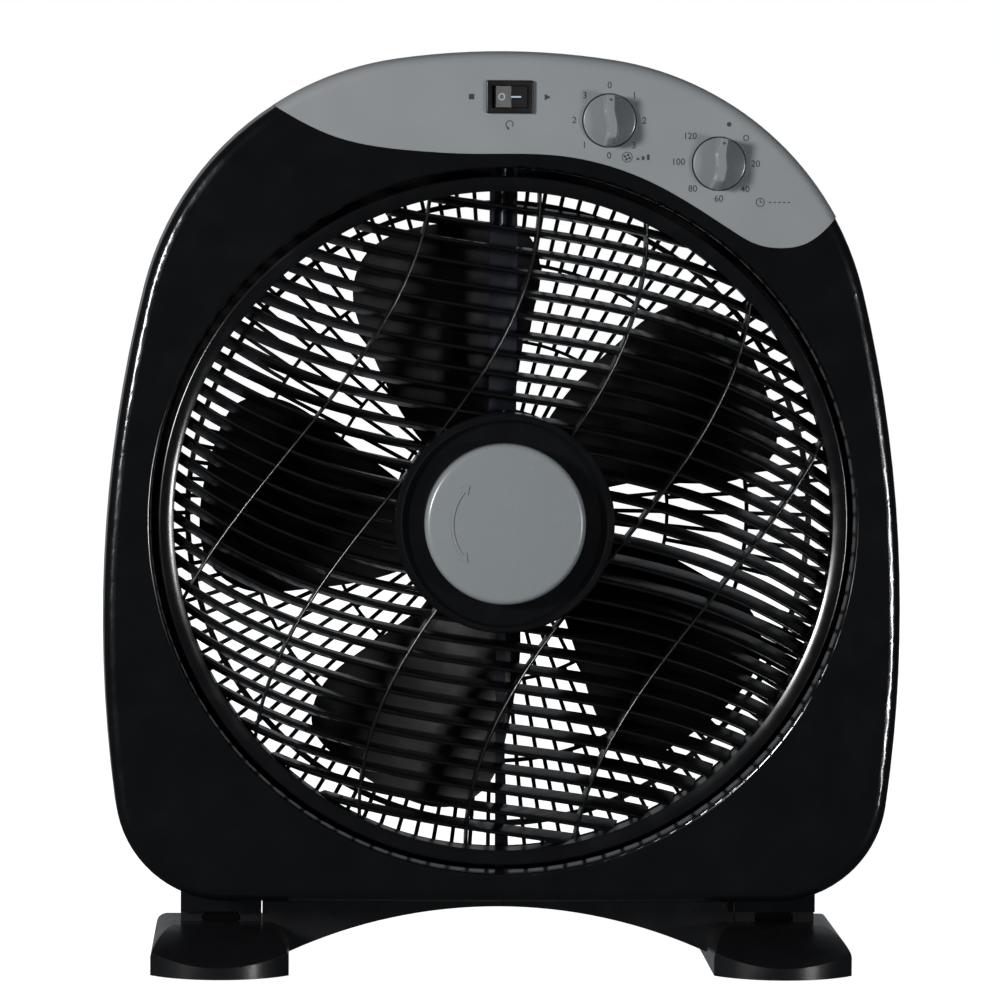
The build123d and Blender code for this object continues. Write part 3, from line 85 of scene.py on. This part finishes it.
def build_world():
    """White to the camera, and a dim even room to everything that the light reaches."""
    world = bpy.data.worlds.new("studio")
    scene.world = world
    world.use_nodes = True
    tree = world.node_tree
    tree.nodes.clear()
    output = tree.nodes.new("ShaderNodeOutputWorld")
    mix = tree.nodes.new("ShaderNodeMixShader")
    path = tree.nodes.new("ShaderNodeLightPath")
    room = tree.nodes.new("ShaderNodeBackground")
    backdrop = tree.nodes.new("ShaderNodeBackground")
    room.inputs["Color"].default_value = (0.82, 0.90, 1.0, 1)
    room.inputs["Strength"].default_value = 0.05
    backdrop.inputs["Color"].default_value = (1, 1, 1, 1)
    backdrop.inputs["Strength"].default_value = 1.0
    tree.links.new(path.outputs["Is Camera Ray"], mix.inputs["Fac"])
    tree.links.new(room.outputs[0], mix.inputs[1])
    tree.links.new(backdrop.outputs[0], mix.inputs[2])
    tree.links.new(mix.outputs[0], output.inputs["Surface"])


def build_floor():
    """A round white table top under the fan."""
    mesh = bpy.data.meshes.new("floor")
    form = bmesh.new()
    bmesh.ops.create_circle(form, cap_ends=True, segments=128, radius=30.0)
    form.to_mesh(mesh)
    form.free()
    floor = bpy.data.objects.new("floor", mesh)
    scene.collection.objects.link(floor)
    floor.location = (0, 0, -0.0002)
    floor.visible_glossy = False
    floor.visible_diffuse = False
    material = bpy.data.materials.new("white_floor")
    material.use_nodes = True
    shader = material.node_tree.nodes["Principled BSDF"]
    shader.inputs["Base Color"].default_value = (0.92, 0.92, 0.92, 1)
    shader.inputs["Roughness"].default_value = 0.9
    shader.inputs["Specular IOR Level"].default_value = 0.0
    shader.inputs["Emission Color"].default_value = (1, 1, 1, 1)
    shader.inputs["Emission Strength"].default_value = 1.0
    mesh.materials.append(material)


def build_backdrop():
    """A white wall behind the fan, which the glossy slats reflect."""
    mesh = bpy.data.meshes.new("backdrop")
    form = bmesh.new()
    bmesh.ops.create_grid(form, x_segments=1, y_segments=1, size=1.4)
    form.to_mesh(mesh)
    form.free()
    wall = bpy.data.objects.new("backdrop", mesh)
    scene.collection.objects.link(wall)
    wall.location = (0, 1.6, 0.9)
    wall.rotation_euler = (radians(90), 0, 0)
    wall.visible_diffuse = False
    wall.visible_camera = False
    material = bpy.data.materials.new("white_wall")
    material.use_nodes = True
    shader = material.node_tree.nodes["Principled BSDF"]
    shader.inputs["Base Color"].default_value = (0, 0, 0, 1)
    shader.inputs["Specular IOR Level"].default_value = 0.0
    shader.inputs["Emission Color"].default_value = (0.9, 0.95, 1, 1)
    shader.inputs["Emission Strength"].default_value = 0.25
    mesh.materials.append(material)


def build_lights():
    """A soft box on each side in front, the left one higher and the right one lower, and one behind."""
    centre = (0.0, 0.0, 0.25)
    add_area_light("key", (-1.55, -1.60, 0.66), centre, 0.32, 0.44, 50.0)
    add_area_light("fill", (1.45, -1.65, 0.02), centre, 0.32, 0.44, 30.0)
    add_area_light("back", (1.30, 2.00, 1.10), centre, 0.60, 0.60, 16.0)


scene.view_settings.view_transform = "Standard"
scene.view_settings.look = "None"
build_world()
build_floor()
build_backdrop()
build_lights()


# ---- materials ----
class Recipe:
    """A material under construction, with its coordinates, its shader and a way to add nodes."""

    def __init__(self, name, metallic=0.0):
        self.material = bpy.data.materials.new(name)
        self.material.use_nodes = True
        self.tree = self.material.node_tree
        self.shader = self.tree.nodes["Principled BSDF"]
        self.shader.inputs["Metallic"].default_value = metallic
        self.place = self.tree.nodes.new("ShaderNodeTexCoord").outputs["Object"]

    def node(self, kind, **values):
        made = self.tree.nodes.new(kind)
        for key, value in values.items():
            setattr(made, key, value)
        return made

    def link(self, start, end):
        self.tree.links.new(start, end)

    def noise(self, size, detail=3.0, stretch=(1, 1, 1)):
        """Noise whose grains are about this size, in millimetres."""
        mapping = self.node("ShaderNodeMapping")
        mapping.inputs["Scale"].default_value = stretch
        texture = self.node("ShaderNodeTexNoise")
        texture.inputs["Scale"].default_value = 1.0 / (size * millimetre)
        texture.inputs["Detail"].default_value = detail
        texture.inputs["Roughness"].default_value = 0.5
        self.link(self.place, mapping.inputs["Vector"])
        self.link(mapping.outputs["Vector"], texture.inputs["Vector"])
        return texture.outputs["Fac"]

    def vary(self, value, low, high):
        """Brings a 0 to 1 value into the range from low to high."""
        ranged = self.node("ShaderNodeMapRange")
        ranged.inputs["From Min"].default_value = 0.3
        ranged.inputs["From Max"].default_value = 0.7
        ranged.inputs["To Min"].default_value = low
        ranged.inputs["To Max"].default_value = high
        self.link(value, ranged.inputs["Value"])
        return ranged.outputs["Result"]

    def colour(self, value, dark, light):
        """Mixes two colours by a 0 to 1 value and gives the result to the shader."""
        mix = self.node("ShaderNodeMix", data_type="RGBA")
        mix.inputs[6].default_value = (*dark, 1)
        mix.inputs[7].default_value = (*light, 1)
        self.link(self.vary(value, 0.0, 1.0), mix.inputs[0])
        self.link(mix.outputs[2], self.shader.inputs["Base Color"])

    def bump(self, value, height):
        """Raises the surface by up to this height, in millimetres."""
        raised = self.node("ShaderNodeBump")
        raised.inputs["Strength"].default_value = 1.0
        raised.inputs["Distance"].default_value = height * millimetre
        self.link(value, raised.inputs["Height"])
        self.link(raised.outputs["Normal"], self.shader.inputs["Normal"])


def moulded_plastic(name, colour, gloss, grain_size, grain_height, spread=0.12, flow=60.0, shine=0.5):
    """Plastic with a fine surface grain, faint flow marks in its gloss and a slight drift of colour."""
    recipe = Recipe(name)
    recipe.shader.inputs["Specular IOR Level"].default_value = shine
    dark = tuple(c * (1 - spread) for c in colour)
    light = tuple(c * (1 + spread) for c in colour)
    recipe.colour(recipe.noise(flow), dark, light)
    recipe.link(recipe.vary(recipe.noise(flow / 4), gloss[0], gloss[1]), recipe.shader.inputs["Roughness"])
    recipe.bump(recipe.noise(grain_size, detail=2.0), grain_height)
    return recipe.material


def metal(name, colour, gloss, grain_size, stretch=(1, 1, 1), grain_height=0.01):
    """Metal with brushed or cast grain, and gloss that varies with it."""
    recipe = Recipe(name, metallic=1.0)
    grain = recipe.noise(grain_size, detail=6.0, stretch=stretch)
    recipe.colour(grain, tuple(c * 0.8 for c in colour), colour)
    recipe.link(recipe.vary(grain, gloss[0], gloss[1]), recipe.shader.inputs["Roughness"])
    recipe.bump(grain, grain_height)
    return recipe.material


materials = {
    "case_black": moulded_plastic("case_black", (0.0030, 0.0032, 0.0038), (0.13, 0.22), 1.6, 0.004),
    "stand_black": moulded_plastic("stand_black", (0.0058, 0.0060, 0.0068), (0.24, 0.34), 1.2, 0.008),
    "panel_grey": moulded_plastic("panel_grey", (0.232, 0.248, 0.258), (0.34, 0.44), 0.8, 0.006, 0.03),
    "knob_grey": moulded_plastic("knob_grey", (0.205, 0.222, 0.232), (0.22, 0.30), 0.8, 0.004, 0.01),
    "louvre_black": moulded_plastic("louvre_black", (0.0030, 0.0031, 0.0036), (0.16, 0.26), 1.4, 0.004),
    "blade_black": moulded_plastic("blade_black", (0.0020, 0.0020, 0.0024), (0.45, 0.58), 1.4, 0.005,
                                   shine=0.2),
    "guard_black": moulded_plastic("guard_black", (0.0025, 0.0026, 0.0030), (0.45, 0.55), 1.0, 0.008,
                                   shine=0.25),
    "switch_black": moulded_plastic("switch_black", (0.0070, 0.0070, 0.0075), (0.30, 0.40), 0.6, 0.006),
    "nylon_white": moulded_plastic("nylon_white", (0.70, 0.69, 0.64), (0.40, 0.50), 0.8, 0.006, 0.03),
    "bracket_black": moulded_plastic("bracket_black", (0.014, 0.015, 0.019), (0.18, 0.28), 1.4, 0.004),
    "rubber": moulded_plastic("rubber", (0.018, 0.018, 0.018), (0.65, 0.80), 0.5, 0.02),
    # Dark ink of the panel's printing, also used as painted shade for the dots in the knobs' small recesses.
    "print_and_painted_shade": moulded_plastic("print_and_painted_shade", (0.028, 0.030, 0.034), (0.45, 0.60), 0.3, 0.002, 0.2, 4.0),
    "print_pale": moulded_plastic("print_pale", (0.42, 0.52, 0.60), (0.40, 0.50), 0.3, 0.002, 0.1, 4.0),
    "zinc_steel": metal("zinc_steel", (0.62, 0.63, 0.64), (0.22, 0.38), 0.5),
    "core_steel": metal("core_steel", (0.30, 0.30, 0.32), (0.35, 0.55), 0.5, (0.02, 1, 0.02)),
    "cast_alloy": metal("cast_alloy", (0.55, 0.56, 0.57), (0.40, 0.60), 0.6, grain_height=0.05),
    "bronze": metal("bronze", (0.52, 0.36, 0.18), (0.35, 0.50), 0.3),
    "copper": metal("copper", (0.70, 0.32, 0.14), (0.22, 0.34), 0.35, (1, 0.05, 1), 0.06),
    "painted_can": moulded_plastic("painted_can", (0.020, 0.021, 0.024), (0.25, 0.40), 0.7, 0.02),
    "wire_blue": moulded_plastic("wire_blue", (0.004, 0.006, 0.012), (0.35, 0.45), 1.0, 0.01),
}

node_materials = {
    "case_black": ["front_shell", "rear_shell"],
    "stand_black": ["left_foot", "right_foot", "stand_bridge"],
    "panel_grey": ["control_panel"],
    "knob_grey": ["hub_cap", "speed_knob", "timer_knob"],
    "louvre_black": ["louvre_wheel"],
    "blade_black": ["fan_blade", "blade_nut"],
    "guard_black": ["rear_guard", "cord_inlet", "capacitor"],
    "switch_black": ["rocker_housing", "rocker", "speed_switch"],
    "nylon_white": ["terminal_block", "timer_body", "speed_shaft"],
    "bracket_black": ["motor_bracket", "wire_cover"],
    "rubber": ["foot_pads"],
    "zinc_steel": ["bridge_screws", "pivot_pins", "friction_washers", "bracket_screws", "motor_bolts",
                   "motor_nuts",
                   "louvre_motor_screws", "guard_screws", "case_screws", "panel_screws", "louvre_shaft",
                   "drive_pin", "motor_shaft", "timer_shaft"],
    "core_steel": ["stator_core", "rotor"],
    "cast_alloy": ["motor_front_cap", "motor_rear_cap"],
    "bronze": ["front_bush", "rear_bush"],
    "copper": ["stator_coils"],
    "painted_can": ["louvre_motor"],
    "wire_blue": ["motor_wires"],
}


def paint_nodes():
    """Gives each CAD node its material."""
    for material, names in node_materials.items():
        for name in names:
            mesh = nodes[name].data
            mesh.materials.clear()
            mesh.materials.append(materials[material])


paint_nodes()


# ---- shapes ----
hub_z = 214.0


class Shape:
    """Points and faces in millimetres, gathered and then made into one piece."""

    def __init__(self):
        self.points = []
        self.faces = []

    def sweep(self, rings, closed=False):
        """A skin over sections that follow each other, with its ends capped or joined to each other."""
        start = len(self.points)
        size = len(rings[0])
        for ring in rings:
            self.points.extend(ring)
        for index in range(len(rings) if closed else len(rings) - 1):
            near = start + index * size
            far = start + (index + 1) % len(rings) * size
            for corner in range(size):
                after = (corner + 1) % size
                self.faces.append((near + corner, near + after, far + after, far + corner))
        if not closed:
            last = start + (len(rings) - 1) * size
            self.faces.append(tuple(range(start, start + size)))
            self.faces.append(tuple(reversed(range(last, last + size))))

    def revolve(self, profile, centre=(0.0, hub_z), steps=240):
        """Turns a closed outline, of distances from the axis and forward distances, about an axis along Y."""
        rings = []
        for step in range(steps):
            angle = 2 * pi * step / steps
            rings.append([(centre[0] + reach * cos(angle), -forward, centre[1] + reach * sin(angle))
                          for reach, forward in profile])
        self.sweep(rings, closed=True)

    def flat(self, outline, forward):
        """A thin flat face from an outline in X and Z."""
        start = len(self.points)
        self.points.extend((x, -forward, z) for x, z in outline)
        self.faces.append(tuple(range(start, start + len(outline))))

    def make(self, name, body, material, smooth=35.0, replaced=()):
        """Makes the piece, with edges sharper than smooth degrees kept sharp."""
        mesh = bpy.data.meshes.new(name)
        mesh.from_pydata([Vector(point) * millimetre for point in self.points], [], self.faces)
        form = bmesh.new()
        form.from_mesh(mesh)
        bmesh.ops.recalc_face_normals(form, faces=form.faces)
        form.to_mesh(mesh)
        form.free()
        mesh.polygons.foreach_set("use_smooth", [True] * len(mesh.polygons))
        mesh.set_sharp_from_angle(angle=radians(smooth))
        mesh.materials.append(materials[material])
        piece = bpy.data.objects.new(name, mesh)
        scene.collection.objects.link(piece)
        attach(piece, body)
        if replaced:
            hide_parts(*replaced)


# ---- louvre wheel ----
wheel_front = 51.0
wheel_radius = 162.0
window_radius = 155.0
hub_ring_radius = 51.5
dome_front = 42.0
dome_rise = 14.0
slat_depth = 18.0
twist = radians(1.4)
slat_rows = 15
slat_pitch = 9.85
slat_slope = 0.15
slat_curl = 0.183
slat_curl_span = 150.0
rib_offset = 53.0
rib_turn = radians(-18.0)
rib_slope = 0.378
rib_curl = 0.165
rib_curl_span = 126.0
rib_proud = 0.5
ring_crown_radius = 11.8
ring_rear = 33.0
hub_ring_wall = 3.5
hub_web_recess = 4.0
hub_web = 2.5
hub_edge = 0.8
boss_radius = 9.0
boss_length = 9.5
louvre_shaft_radius = 3.0


def dome(reach):
    """How far forward the slats' front edges stand at a distance from the hub line."""
    return dome_front + dome_rise * (window_radius**2 - reach**2) / (window_radius**2 - hub_ring_radius**2)


def spans(curve, inner, outer):
    """Stretches of a curve, given by a function of one coordinate, that lie between two circles."""
    found = []
    current = []
    step = 0.5
    count = int(2 * outer / step)
    for index in range(count + 1):
        at = -outer + index * step
        if inner <= Vector(curve(at)).length <= outer:
            current.append(at)
        elif current:
            found.append(current)
            current = []
    if current:
        found.append(current)
    return [span for span in found if len(span) > 4]


def fin(shape, curve, section, lift, turn):
    """A thin fin along a curve, its front on the dome and its rear turned a little about the hub."""
    for span in spans(curve, hub_ring_radius - 1.5, window_radius + 1.0):
        stops = span[::5]
        if stops[-1] != span[-1]:
            stops.append(span[-1])
        rings = []
        for at in stops:
            point = Vector(curve(at))
            along = (Vector(curve(at + 0.1)) - Vector(curve(at - 0.1))).normalized()
            across = Vector((-along.y, along.x))
            front = dome(point.length) + lift
            ring = []
            for offset, depth in section:
                angle = turn * depth / slat_depth
                place = point + across * offset
                ring.append((place.x * cos(angle) - place.y * sin(angle), depth - front,
                             hub_z + place.x * sin(angle) + place.y * cos(angle)))
            rings.append(ring)
        shape.sweep(rings)


def fin_section(front_half, rear_half, depth):
    """Outline of a fin: rounded front edge, drafted sides and a narrow round at the rear."""
    side = [(front_half * 0.5, front_half * 0.13), (front_half * 0.87, front_half * 0.5),
            (front_half, front_half),
            (rear_half, depth - 0.5), (rear_half - 0.4, depth)]
    return [(0.0, 0.0)] + side + [(-offset, back) for offset, back in reversed(side)]


def slat_line(level):
    """A slat's falling S-shaped line at a height from the hub."""
    return lambda x: (x, level - (slat_slope * x + slat_curl * x**3 / slat_curl_span**2))


def rib_line(across):
    """A rib's S-shaped line at a distance across the turned wheel."""
    def curve(y):
        x = across + rib_slope * y - rib_curl * y**3 / rib_curl_span**2
        return (x * cos(rib_turn) - y * sin(rib_turn), x * sin(rib_turn) + y * cos(rib_turn))
    return curve


def ring_profile():
    """Outline of the outer ring: a rounded front, a round outer edge and a thin wall back to its rear."""
    middle = wheel_radius - 1.0
    profile = []
    for step in range(9):
        reach = window_radius + (middle - window_radius) * step / 8
        height = sqrt(ring_crown_radius**2 - (middle - reach) ** 2)
        profile.append((reach, wheel_front - ring_crown_radius + height))
    for angle in (60, 30, 0):
        profile.append((middle + cos(radians(angle)), wheel_front - 1 + sin(radians(angle))))
    return profile + [(wheel_radius, wheel_front - 5), (window_radius + 2.0, ring_rear),
                      (window_radius + 0.3, ring_rear), (window_radius, ring_rear + 0.3)]


def hub_profile():
    """Outline of the hub: its ring, the web set back inside it and the boss that the cap screws on."""
    front = dome_front + dome_rise + 6.0
    rear = front - 24.0
    inside = hub_ring_radius - hub_ring_wall
    web = front - hub_web_recess
    return [(hub_ring_radius, front - hub_edge), (hub_ring_radius - hub_edge, front),
            (inside + hub_edge, front),
            (inside, front - hub_edge), (inside, web), (boss_radius, web), (boss_radius, web + boss_length),
            (louvre_shaft_radius, web + boss_length), (louvre_shaft_radius, web - hub_web),
            (inside, web - hub_web),
            (inside, rear), (hub_ring_radius, rear)]


def build_wheel():
    """The louvre wheel in one piece: slats, ribs, ring and hub."""
    shape = Shape()
    for row in range(-slat_rows, slat_rows + 1):
        fin(shape, slat_line(slat_pitch * row), fin_section(0.85, 2.2, slat_depth), 0.0, twist)
    for column in range(-2, 3):
        fin(shape, rib_line(rib_offset * column), fin_section(0.62, 0.9, slat_depth - 2.0), rib_proud, 0.0)
    shape.revolve(ring_profile())
    shape.revolve(hub_profile())
    shape.make("louvre_wheel_detailed", "louvre", "louvre_black", 40.0, ["louvre_wheel"])


build_wheel()


# ---- knobs ----
speed_centre = (48.0, 402.3)
timer_centre = (99.5, 382.5)
disc_radius = 12.2
disc_rear = 50.9
disc_face = 55.5
knob_front = 65.5
grip_half_length = 11.7
grip_half_top = 1.75
grip_half_base = 3.0
grip_bulge = 1.4
bulge_start = 0.3
slope_start = 0.84
slope_drop = 6.0
shaft_hole_radius = 3.0
shaft_radius = 2.95
shaft_front = 54.4
pinhole = 0.02
dot_radius = 0.62
dot_place = 9.6


def knob_frame(centre, turn):
    """Places a point given by its distance across a knob, forward, and up along its grip."""
    lean = radians(-turn)
    return lambda x, forward, z: (centre[0] + x * cos(lean) - z * sin(lean), -forward,
                                  centre[1] + x * sin(lean) + z * cos(lean))


def grip_sections(placed):
    """Sections of the grip from its top end to its bottom end, where the front slopes down."""
    stops = 40
    rings = []
    for step in range(stops + 1):
        part = step / stops
        z = grip_half_length - 2 * grip_half_length * part
        bulge = 0.0
        if part > bulge_start:
            bulge = grip_bulge * sin(pi * (part - bulge_start) / (1 - bulge_start)) ** 1.3
        height = knob_front
        if part > slope_start:
            height = knob_front - slope_drop * (part - slope_start) / (1 - slope_start)
        limit = sqrt(max(12.15**2 - z**2, 0.0)) - 0.05
        round_end = 0.3 if step in (0, stops) else 0.0
        right = min(bulge + grip_half_base, limit) - round_end
        left = max(bulge - grip_half_base, -limit) + round_end
        half = grip_half_top
        rings.append([placed(left, disc_face - 0.3, z), placed(bulge - half - 0.15, height - 0.45, z),
                      placed(bulge - half + 0.25, height - round_end, z),
                      placed(bulge + half - 0.25, height - round_end, z),
                      placed(bulge + half + 0.15, height - 0.45, z), placed(right, disc_face - 0.3, z)])
    return rings


def build_knob(name, centre, turn, body, replaced, shaft_finish):
    """A disc with a curved grip across it, whose top end carries a dark dot, and the shaft behind it. The dot
    is painted shade: a flat dark disc in place of the shade inside a small recess.
    """
    placed = knob_frame(centre, turn)
    shape = Shape()
    shape.revolve([(disc_radius, disc_rear), (disc_radius, disc_face - 0.7),
                   (disc_radius - 0.2, disc_face - 0.2), (disc_radius - 0.7, disc_face),
                   (pinhole, disc_face), (pinhole, disc_face - 1.0),
                   (shaft_hole_radius, disc_face - 1.0), (shaft_hole_radius, disc_rear)], centre, 96)
    shape.sweep(grip_sections(placed))
    shape.make(name, body, "knob_grey", 35.0, [replaced])
    shaft = replaced.replace("knob", "shaft")
    rear = -max(corner[1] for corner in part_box(shaft)) / millimetre
    stub = Shape()
    stub.revolve([(shaft_radius, rear), (shaft_radius, shaft_front), (pinhole, shaft_front), (pinhole, rear)],
                 centre, 48)
    stub.make(shaft + "_stub", body, shaft_finish[0], 35.0, [shaft])
    # The dot is painted shade: a flat dark disc stands where the grip has a small recess that lies in shade.
    angles = [2 * pi * step / 24 for step in range(24)]
    dot = Shape()
    dot.flat([placed(dot_radius * cos(angle), 0, dot_place + dot_radius * sin(angle))[::2]
              for angle in angles], knob_front + 0.03)
    dot.make(name + "_dot", body, "print_and_painted_shade")


build_knob("speed_knob_detailed", speed_centre, 0.0, "speed_dial", "speed_knob",
           ("nylon_white", "white_plastic"))
build_knob("timer_knob_detailed", timer_centre, 8.5, "timer_dial", "timer_knob",
           ("zinc_steel", "steel"))


# ---- printing ----
panel_print = 52.64


def arc_band(centre, outer, inner, start, end, steps=24):
    """Quads of a round band between two angles, in degrees."""
    quads = []
    for step in range(steps):
        first = radians(start + (end - start) * step / steps)
        second = radians(start + (end - start) * (step + 1) / steps)
        quads.append([(centre[0] + reach * cos(angle), centre[1] + reach * sin(angle))
                      for reach, angle in ((outer, first), (outer, second), (inner, second), (inner, first))])
    return quads


def spot(centre, radius):
    """A round dot."""
    return [[(centre[0] + radius * cos(2 * pi * step / 20), centre[1] + radius * sin(2 * pi * step / 20))
             for step in range(20)]]


def bar(centre, width, height):
    """A rectangle about its centre."""
    x, z = centre
    return [[(x - width / 2, z - height / 2), (x + width / 2, z - height / 2),
             (x + width / 2, z + height / 2), (x - width / 2, z + height / 2)]]


def number(text, centre, height):
    """Faces of a printed number, taken from the plain built-in face."""
    curve = bpy.data.curves.new("number", "FONT")
    curve.body = text
    curve.size = height / 0.70
    curve.offset = 0.035
    curve.align_x = "CENTER"
    curve.align_y = "CENTER"
    item = bpy.data.objects.new("number", curve)
    scene.collection.objects.link(item)
    graph = bpy.context.evaluated_depsgraph_get()
    mesh = bpy.data.meshes.new_from_object(item.evaluated_get(graph))
    faces = [[(centre[0] + mesh.vertices[corner].co.x, centre[1] + mesh.vertices[corner].co.y)
              for corner in face.vertices] for face in mesh.polygons]
    bpy.data.objects.remove(item)
    bpy.data.meshes.remove(mesh)
    bpy.data.curves.remove(curve)
    return faces


def around(centre, radius, clock):
    """A place on a circle, by an angle clockwise from the top, in degrees."""
    return (centre[0] + radius * sin(radians(clock)), centre[1] + radius * cos(radians(clock)))


def printed(name, faces):
    """One piece of dark printing on the panel."""
    shape = Shape()
    for face in faces:
        shape.flat(face, panel_print)
    shape.make(name, "case", "print_and_painted_shade")


def build_dials():
    """The numbers round both dials, and the timer's two plain marks."""
    faces = []
    for index, text in enumerate("01230123"):
        faces += number(text, around(speed_centre, 16.4, 45.0 * index), 3.05)
    printed("speed_numbers", faces)
    faces = []
    minutes = (("20", 17.2, 90.0), ("40", 17.2, 134.0), ("60", 16.4, 180.0), ("80", 17.0, 226.0),
               ("100", 19.1, 272.0), ("120", 18.7, 313.0))
    for text, reach, clock in minutes:
        faces += number(text, around(timer_centre, reach, clock), 3.0)
    faces += spot(around(timer_centre, 19.0, 14.0), 1.1)
    faces += arc_band(around(timer_centre, 17.5, 46.0), 1.4, 0.95, 0, 360)
    printed("timer_numbers", faces)


def build_marks():
    """Plain signs where the switch and the dials are labelled."""
    faces = bar((-16.5, 413.0), 2.6, 2.6)
    faces += [[(17.6, 411.5), (20.6, 413.0), (17.6, 414.5)]]
    turn = (1.3, 400.2)
    faces += arc_band(turn, 1.9, 1.45, -40, 250)
    x, z = turn
    faces += [[(x - 1.6, z - 1.2), (x + 0.1, z - 1.6), (x - 0.6, z - 2.7)]]
    printed("switch_signs", faces)
    fan_sign = (56.5, 385.3)
    faces = arc_band(fan_sign, 2.5, 2.15, 0, 360)
    for blade in range(4):
        faces += spot(around(fan_sign, 1.1, 90.0 * blade + 20), 0.62)
    for index, height in enumerate((1.0, 1.8, 2.6)):
        faces += bar((61.5 + 2.4 * index, 384.0 + height / 2), 1.3, height)
    printed("speed_signs", faces)
    clock_sign = (119.0, 364.6)
    faces = arc_band(clock_sign, 2.1, 1.7, 0, 360)
    faces += bar((clock_sign[0], clock_sign[1] + 0.65), 0.4, 1.5)
    faces += bar((clock_sign[0] + 0.5, clock_sign[1]), 1.2, 0.4)
    for index in range(5):
        faces += bar((123.6 + 2.2 * index, 364.6), 1.2, 0.5)
    printed("timer_signs", faces)


def on_surface(node, x, z):
    """Where a line from the front meets a CAD node, and the way that its surface faces, in millimetres."""
    item = nodes[node]
    hit, place, normal, _ = item.ray_cast(Vector((x, -200, z)) * millimetre, Vector((0, 1, 0)))
    assert hit
    return place / millimetre, normal


def build_rocker_marks():
    """A pale ring and a pale bar on the rocker's two halves."""
    for name, x, faces in (("off_sign", -3.9, arc_band((0, 0), 1.7, 1.2, 0, 360)),
                           ("on_sign", 2.9, bar((0, 0), 4.6, 0.7))):
        place, normal = on_surface("rocker", 1.3 + x, 413.0)
        side = Vector((0, 0, 1)).cross(normal).normalized() * -1
        rise = normal.cross(side) * -1
        if rise.z < 0:
            rise = -rise
        if side.x < 0:
            side = -side
        shape = Shape()
        for face in faces:
            start = len(shape.points)
            shape.points.extend(tuple(place + normal * 0.04 + side * a + rise * b) for a, b in face)
            shape.faces.append(tuple(range(start, start + len(face))))
        shape.make(name, "rocker", "print_pale")


build_dials()
build_marks()
build_rocker_marks()


# ---- cap arrow ----
def build_cap_arrow():
    """A raised double arrow along the left side of the cap, which says that the cap turns."""
    def crown(reach):
        return 72.0 - 1.6 * (reach / 37.6) ** 2

    def section(angle, inner, outer):
        ring = []
        for reach, lift in ((inner, -0.2), (inner + 0.15, 0.45), (outer - 0.15, 0.45), (outer, -0.2)):
            ring.append((reach * cos(angle), -crown(reach) - lift, hub_z + reach * sin(angle)))
        return ring

    shape = Shape()
    middle = 24.8
    first = 133.0
    last = 225.0
    head = 9.0
    for step_range, widths in (
            ((first, first + head), (0.2, 2.6)), ((first + head, last - head), (0.7, 0.7)),
            ((last - head, last), (2.6, 0.2))):
        rings = []
        for step in range(13):
            part = step / 12
            angle = radians(step_range[0] + (step_range[1] - step_range[0]) * part)
            half = widths[0] + (widths[1] - widths[0]) * part
            rings.append(section(angle, middle - half, middle + half))
        shape.sweep(rings)
    shape.make("cap_arrow", "cap", "knob_grey", 30.0)


build_cap_arrow()
